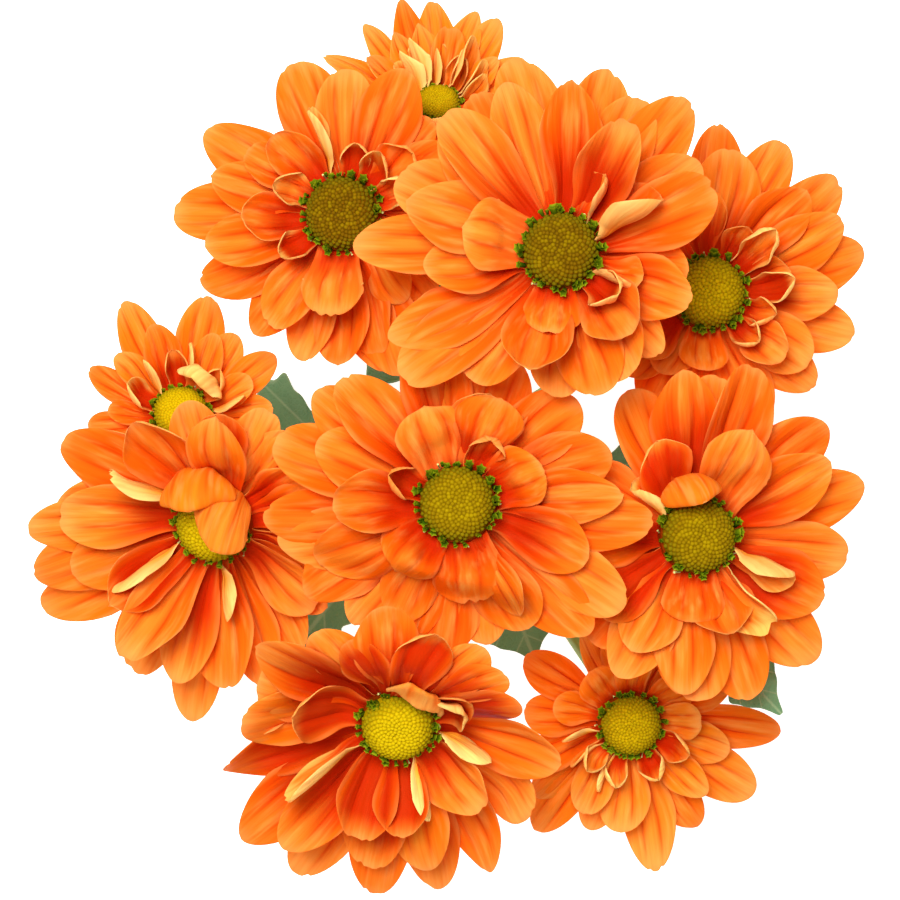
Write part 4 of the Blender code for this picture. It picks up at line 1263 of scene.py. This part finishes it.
def petal_finish():
    """Satin petal: red-orange at the claw, orange, and peach at the tip and rim, yellower by its
    head's gold and streaked along its length. A yellower painted highlight runs along its middle
    and lies in pale blotches; its pleats are redder by their own veins and by painted shade, and
    the claws' dark red runs out along it, partly its own colour and partly painted shade in cups
    and between petals. The reverse is orange, yellower by how pale it is, with its pleats redder
    in the same way and a painted highlight in lighter streaks."""
    look = Finish("petal")
    along, across, tone, gold = look.marks("along", "across", "tone", "gold")
    pale, deep, pad, reverse = look.marks("pale", "deep", "pad", "reverse")
    streaks = look.noise(look.vector(across * 5.0, along * 1.1, tone * 31.0), 1.6)
    threads = look.noise(look.vector(across * 26.0, along * 1.5, tone * 17.0), 1.4, 2.0)
    blotches_and_highlights = look.noise(look.vector(across * 2.4, along * 1.3, tone * 23.0), 1.7)
    open_part = along.rise(0.05, 0.3) * (1 - along.rise(0.66, 0.97))
    groove = abs(across).bell(GROOVE_AT, 0.13) * open_part
    reach = along + (streaks - 0.5) * 0.3 + (tone - 0.5) * 0.16
    # The claws' dark red reaches out: partly their own colour, partly painted shade between petals
    depth = (deep * 1.1 - reach).rise(0.0, 0.55)
    ribs = (across * 26.0 + streaks * 4.0 + tone * 40.0).math("SINE") * 0.5 + 0.5
    crease = abs(across).bell(GROOVE_AT, 0.04) * open_part
    orange = look.ramp(reach, [
        (0.0, (0.5, 0.022, 0.0005)),
        (0.12, (0.76, 0.055, 0.001)),
        (0.32, (0.85, 0.092, 0.002)),
        (0.6, (0.89, 0.138, 0.003)),
        (0.85, (0.93, 0.21, 0.01)),
        (1.0, (0.98, 0.33, 0.055)),
    ])
    golden = look.ramp(reach, [
        (0.0, (0.66, 0.05, 0.001)),
        (0.14, (0.86, 0.11, 0.002)),
        (0.4, (0.93, 0.2, 0.004)),
        (0.7, (0.96, 0.28, 0.012)),
        (1.0, (0.98, 0.41, 0.08)),
    ])
    # A painted highlight along the raised middle of the petal, between the pleats
    middle = across.bell(0.0, 0.3) * open_part * (0.2 + streaks * 0.6)
    vein = (1 - ribs).rise(0.4, 1.0) * (0.26 - streaks * 0.3)
    rim = abs(across).rise(0.9, 1.0) * 0.5 + along.rise(0.92, 1.0) * 0.4
    edge = (abs(across) + streaks * 0.5).rise(0.95, 1.3) + (along + streaks * 0.3).rise(0.9, 1.15)
    # Less of the claws' painted shade towards the tip and the edges
    inside = (1 - along.rise(0.7, 1.0) * 0.8) * (1 - abs(across).rise(0.7, 1.0) * 0.6)
    # The pad: dark red and dark green of the petal and floret bases, darkened as painted shade
    claw = look.mix(streaks.rise(0.4, 0.65), (0.4, 0.018, 0.0005), (0.12, 0.06, 0.001))
    front = look.glazed(
        look.mix(gold, orange, golden),
        (middle, (0.99, 0.33, 0.03)),
        (tone.rise(0.55, 1.0) * 0.16, (1.0, 0.41, 0.06)),
        ((1 - tone).rise(0.6, 1.0) * 0.4, (0.86, 0.085, 0.002)),
        # Pleats: their own redder veins plus painted shade, and a line of painted shade in the fold
        (groove * 0.55, (0.82, 0.07, 0.002)),
        (crease * 0.5, (0.6, 0.03, 0.001)),
        (vein, (0.84, 0.085, 0.002)),
        (threads.rise(0.5, 0.75) * 0.22, (0.84, 0.09, 0.002)),
        # Pale salmon blotches: painted highlights
        (blotches_and_highlights.rise(0.44, 0.84) * 0.52, (1.0, 0.5, 0.1)),
        (rim * along.rise(0.15, 0.6), (0.97, 0.34, 0.08)),
        (edge * along.rise(0.1, 0.4) * pale.rise(0.5, 0.8), (1.0, 0.6, 0.12)),
        # Claws' dark red: their own colour, and painted shade in cups and between petals
        (depth * inside * 0.92, (0.55, 0.016, 0.0004)),
        (pad, claw),
    )
    palest = look.mix(along.rise(0.2, 0.8), (0.98, 0.42, 0.03), (1.0, 0.7, 0.2))
    back = look.mix(pale, look.mix(gold, (0.95, 0.2, 0.01), (0.98, 0.36, 0.012)), palest)
    plain = 1 - pale * 0.6
    back = look.glazed(
        look.mix(along.rise(0.0, 0.35) * 0.5 + 0.5, (0.85, 0.18, 0.005), back),
        # Pleats: their own redder veins plus painted shade
        ((groove * 0.5 + crease * 0.5) * plain, (0.86, 0.11, 0.004)),
        ((1 - ribs).rise(0.3, 1.0) * 0.3 * plain, (0.9, 0.13, 0.004)),
        # Lighter streaks: a painted highlight
        (streaks.rise(0.42, 0.7) * 0.5 * plain, (1.0, 0.4, 0.09)),
        (abs(across).rise(0.5, 1.0) * pale * 0.7, (1.0, 0.76, 0.26)),
        (blotches_and_highlights.rise(0.45, 0.7) * 0.5 * plain, (0.95, 0.17, 0.006)),
    )
    colour = look.mix(reverse, front, back)
    height = streaks * 0.5 + ribs * 0.14 + threads * 0.25 - groove * 0.3 - crease * 0.3
    look.surface(colour, 0.42 + streaks * 0.16, look.bump(height, 0.4 * MM, 0.7), 0.015)
    look.lit_through((0.95, 0.2, 0.006), 0.26 - reverse * pale * 0.2)
    return look.material


def disc_finish():
    """Olive-brown buds with lighter tops, some of them turning yellow-green, as all do in a fresh
    disc, and greener at the rim; leaf-green cups with a yellow-green rim, and pale styles."""
    look = Finish("disc_floret")
    along, tone, side = look.marks("along", "tone", "side")
    fresh, fringe, style = look.marks("fresh", "fringe", "style")
    grain = look.noise(look.place(), 700.0, 2.0)
    patches = look.noise(look.place(), 130.0, 2.0)
    ripe = look.ramp(along, [
        (0.0, (0.1, 0.045, 0.0002)),
        (0.45, (0.115, 0.053, 0.0002)),
        (0.8, (0.14, 0.068, 0.0003)),
        (1.0, (0.18, 0.09, 0.0006)),
    ])
    young = look.ramp(along, [
        (0.0, (0.36, 0.225, 0.0003)),
        (0.45, (0.48, 0.32, 0.0005)),
        (1.0, (0.62, 0.44, 0.002)),
    ])
    turning = side.rise(0.3, 1.0) * 0.2 + patches.rise(0.5, 0.8) * 0.15 + fresh
    body = look.mix(turning * (1 - tone.rise(0.3, 1.0) * 0.4), ripe, young)
    body = look.mix(tone.rise(0.66, 1.0) * 0.5, body, (0.12, 0.13, 0.002))
    green = look.ramp(along + (grain - 0.5) * 0.3, [
        (0.0, (0.01, 0.022, 0.0005)),
        (0.5, (0.02, 0.05, 0.0007)),
        (0.8, (0.06, 0.125, 0.001)),
        (1.0, (0.28, 0.31, 0.006)),
    ])
    green = look.glazed(green, (tone * 0.2, (0.28, 0.3, 0.006)), (style, (0.6, 0.62, 0.2)))
    colour = look.mix(fringe, body, green)
    look.surface(colour, 0.6, look.bump(grain, 0.1 * MM, 0.4), 0.02)
    look.lit_through((0.35, 0.3, 0.002), 0.05)
    return look.material


def stem_finish():
    """Pale green, mottled finely and broadly, with darker scales that are yellower at the tip."""
    look = Finish("stem")
    along, scale = look.marks("along", "scale")
    grain = look.noise(look.place(), 420.0)
    wide = look.noise(look.place(), 60.0, 2.0)
    scales = look.mix(along.rise(0.3, 0.95), (0.16, 0.3, 0.06), (0.3, 0.36, 0.1))
    colour = look.glazed(
        look.mix(wide, (0.2, 0.36, 0.09), (0.33, 0.47, 0.17)),
        (grain.rise(0.5, 0.75) * 0.4, (0.42, 0.55, 0.26)),
        (scale * 0.8, scales),
    )
    look.surface(colour, 0.52, look.bump(grain, 0.15 * MM, 0.5), 0.35)
    look.lit_through((0.3, 0.5, 0.1), 0.06)
    return look.material


def leaf_finish():
    """Matt grey-green with paler veins and margin, and a downy paler reverse."""
    look = Finish("leaf")
    along, across, rim, reverse = look.marks("along", "across", "rim", "reverse")
    mottle = look.noise(look.place(), 220.0, 4.0)
    net = look.node("ShaderNodeTexVoronoi", {"feature": "DISTANCE_TO_EDGE"}, {
        "Vector": look.place(), "Scale": 900.0,
    }, output="Distance")
    off = abs(across)
    run = (along - off * VEIN_SLANT) * float(VEINS)
    side = run.math("FRACT") - 0.5
    side = (1 - abs(abs(side) - 0.5).rise(0.0, 0.075)) * (1 - off.rise(0.7, 1.1))
    rib = 1 - off.rise(0.015, 0.06)
    vein = side.math("MAXIMUM", rib) * along.rise(0.0, 0.05)
    colour = look.glazed(
        look.mix(mottle, (0.11, 0.24, 0.1), (0.19, 0.37, 0.18)),
        ((1 - net.rise(0.0, 0.09)) * 0.22, (0.24, 0.34, 0.16)),
        (vein * 0.6, (0.36, 0.47, 0.25)),
        (rim.rise(0.88, 1.0) * 0.6, (0.42, 0.54, 0.3)),
        (reverse, look.mix(vein * 0.5, (0.2, 0.29, 0.14), (0.34, 0.43, 0.24))),
    )
    height = mottle * 0.4 + net.rise(0.0, 0.2) * 0.5 + vein * -0.6
    look.surface(colour, 0.62, look.bump(height, 0.25 * MM, 0.5), 0.3)
    look.lit_through((0.2, 0.38, 0.05), 0.12)
    return look.material


# The table, the lights and the camera, in metres and watts

TABLE_HALF = 1.6
TABLE_BELOW = 0.1 * MM
TABLE_GLOW = 0.8
SURROUND = 0.32
LIT_POINT = (0, 0, 0.08)
# Each lamp's place, size and power: a soft panel above, a little towards the picture's top, and a
# faint fill from below the picture
LAMPS = {"panel": ((-0.24, 0.38, 1.25), 0.7, 22.7), "fill": ((0.15, -0.75, 0.95), 0.6, 2.8)}


def table():
    """A plain white table top that glows a little, as opal glass over a lamp does."""
    corners = np.array([(-1, -1, 0), (1, -1, 0), (1, 1, 0), (-1, 1, 0)]) * TABLE_HALF
    mesh = bpy.data.meshes.new("table")
    mesh.from_pydata((corners - UP * TABLE_BELOW).tolist(), [], [(0, 1, 2, 3)])
    look = Finish("opal_white")
    look.surface((0.9, 0.9, 0.9), 0.7)
    look.shader.inputs["Emission Color"].default_value = (1, 1, 1, 1)
    look.shader.inputs["Emission Strength"].default_value = TABLE_GLOW
    mesh.materials.append(look.material)
    top = placed("table", mesh)


def lamp(name, place, size, power):
    """A round lamp that points at the spray."""
    data = bpy.data.lights.new(name, "AREA")
    data.shape = "DISK"
    data.size = size
    data.energy = power
    light = placed(name, data)
    light.location = place
    away = Vector(place) - Vector(LIT_POINT)
    light.rotation_euler = away.to_track_quat("Z", "Y").to_euler()


def studio():
    """The lamps and an even white surround. The camera looks straight down."""
    for name, setting in LAMPS.items():
        lamp(name, *setting)
    world = bpy.data.worlds.new("surround")
    world.use_nodes = True
    ground = world.node_tree.nodes["Background"]
    ground.inputs["Color"].default_value = (1, 1, 1, 1)
    ground.inputs["Strength"].default_value = SURROUND
    scene = bpy.context.scene
    scene.world = world
    scene.view_settings.view_transform = "Standard"
    data = bpy.data.cameras.new("camera")
    data.angle = 2 * math.atan(PICTURE_WIDTH / 2 / (SEEN_FROM - SEEN_PLANE))
    scene.camera = placed("camera", data)
    scene.camera.location = SPRAY_SHIFT + UP * SEEN_FROM


def main():
    """Makes every piece, the table, the lamps and the camera."""
    petal, floret, green, leafy = petal_finish(), disc_finish(), stem_finish(), leaf_finish()
    for head in HEADS:
        rays(head, petal)
        disc_florets(head, floret)
    stalks(green)
    for row in LEAVES:
        leaf(row, leafy)
    table()
    studio()


main()
bpy.context.view_layer.update()
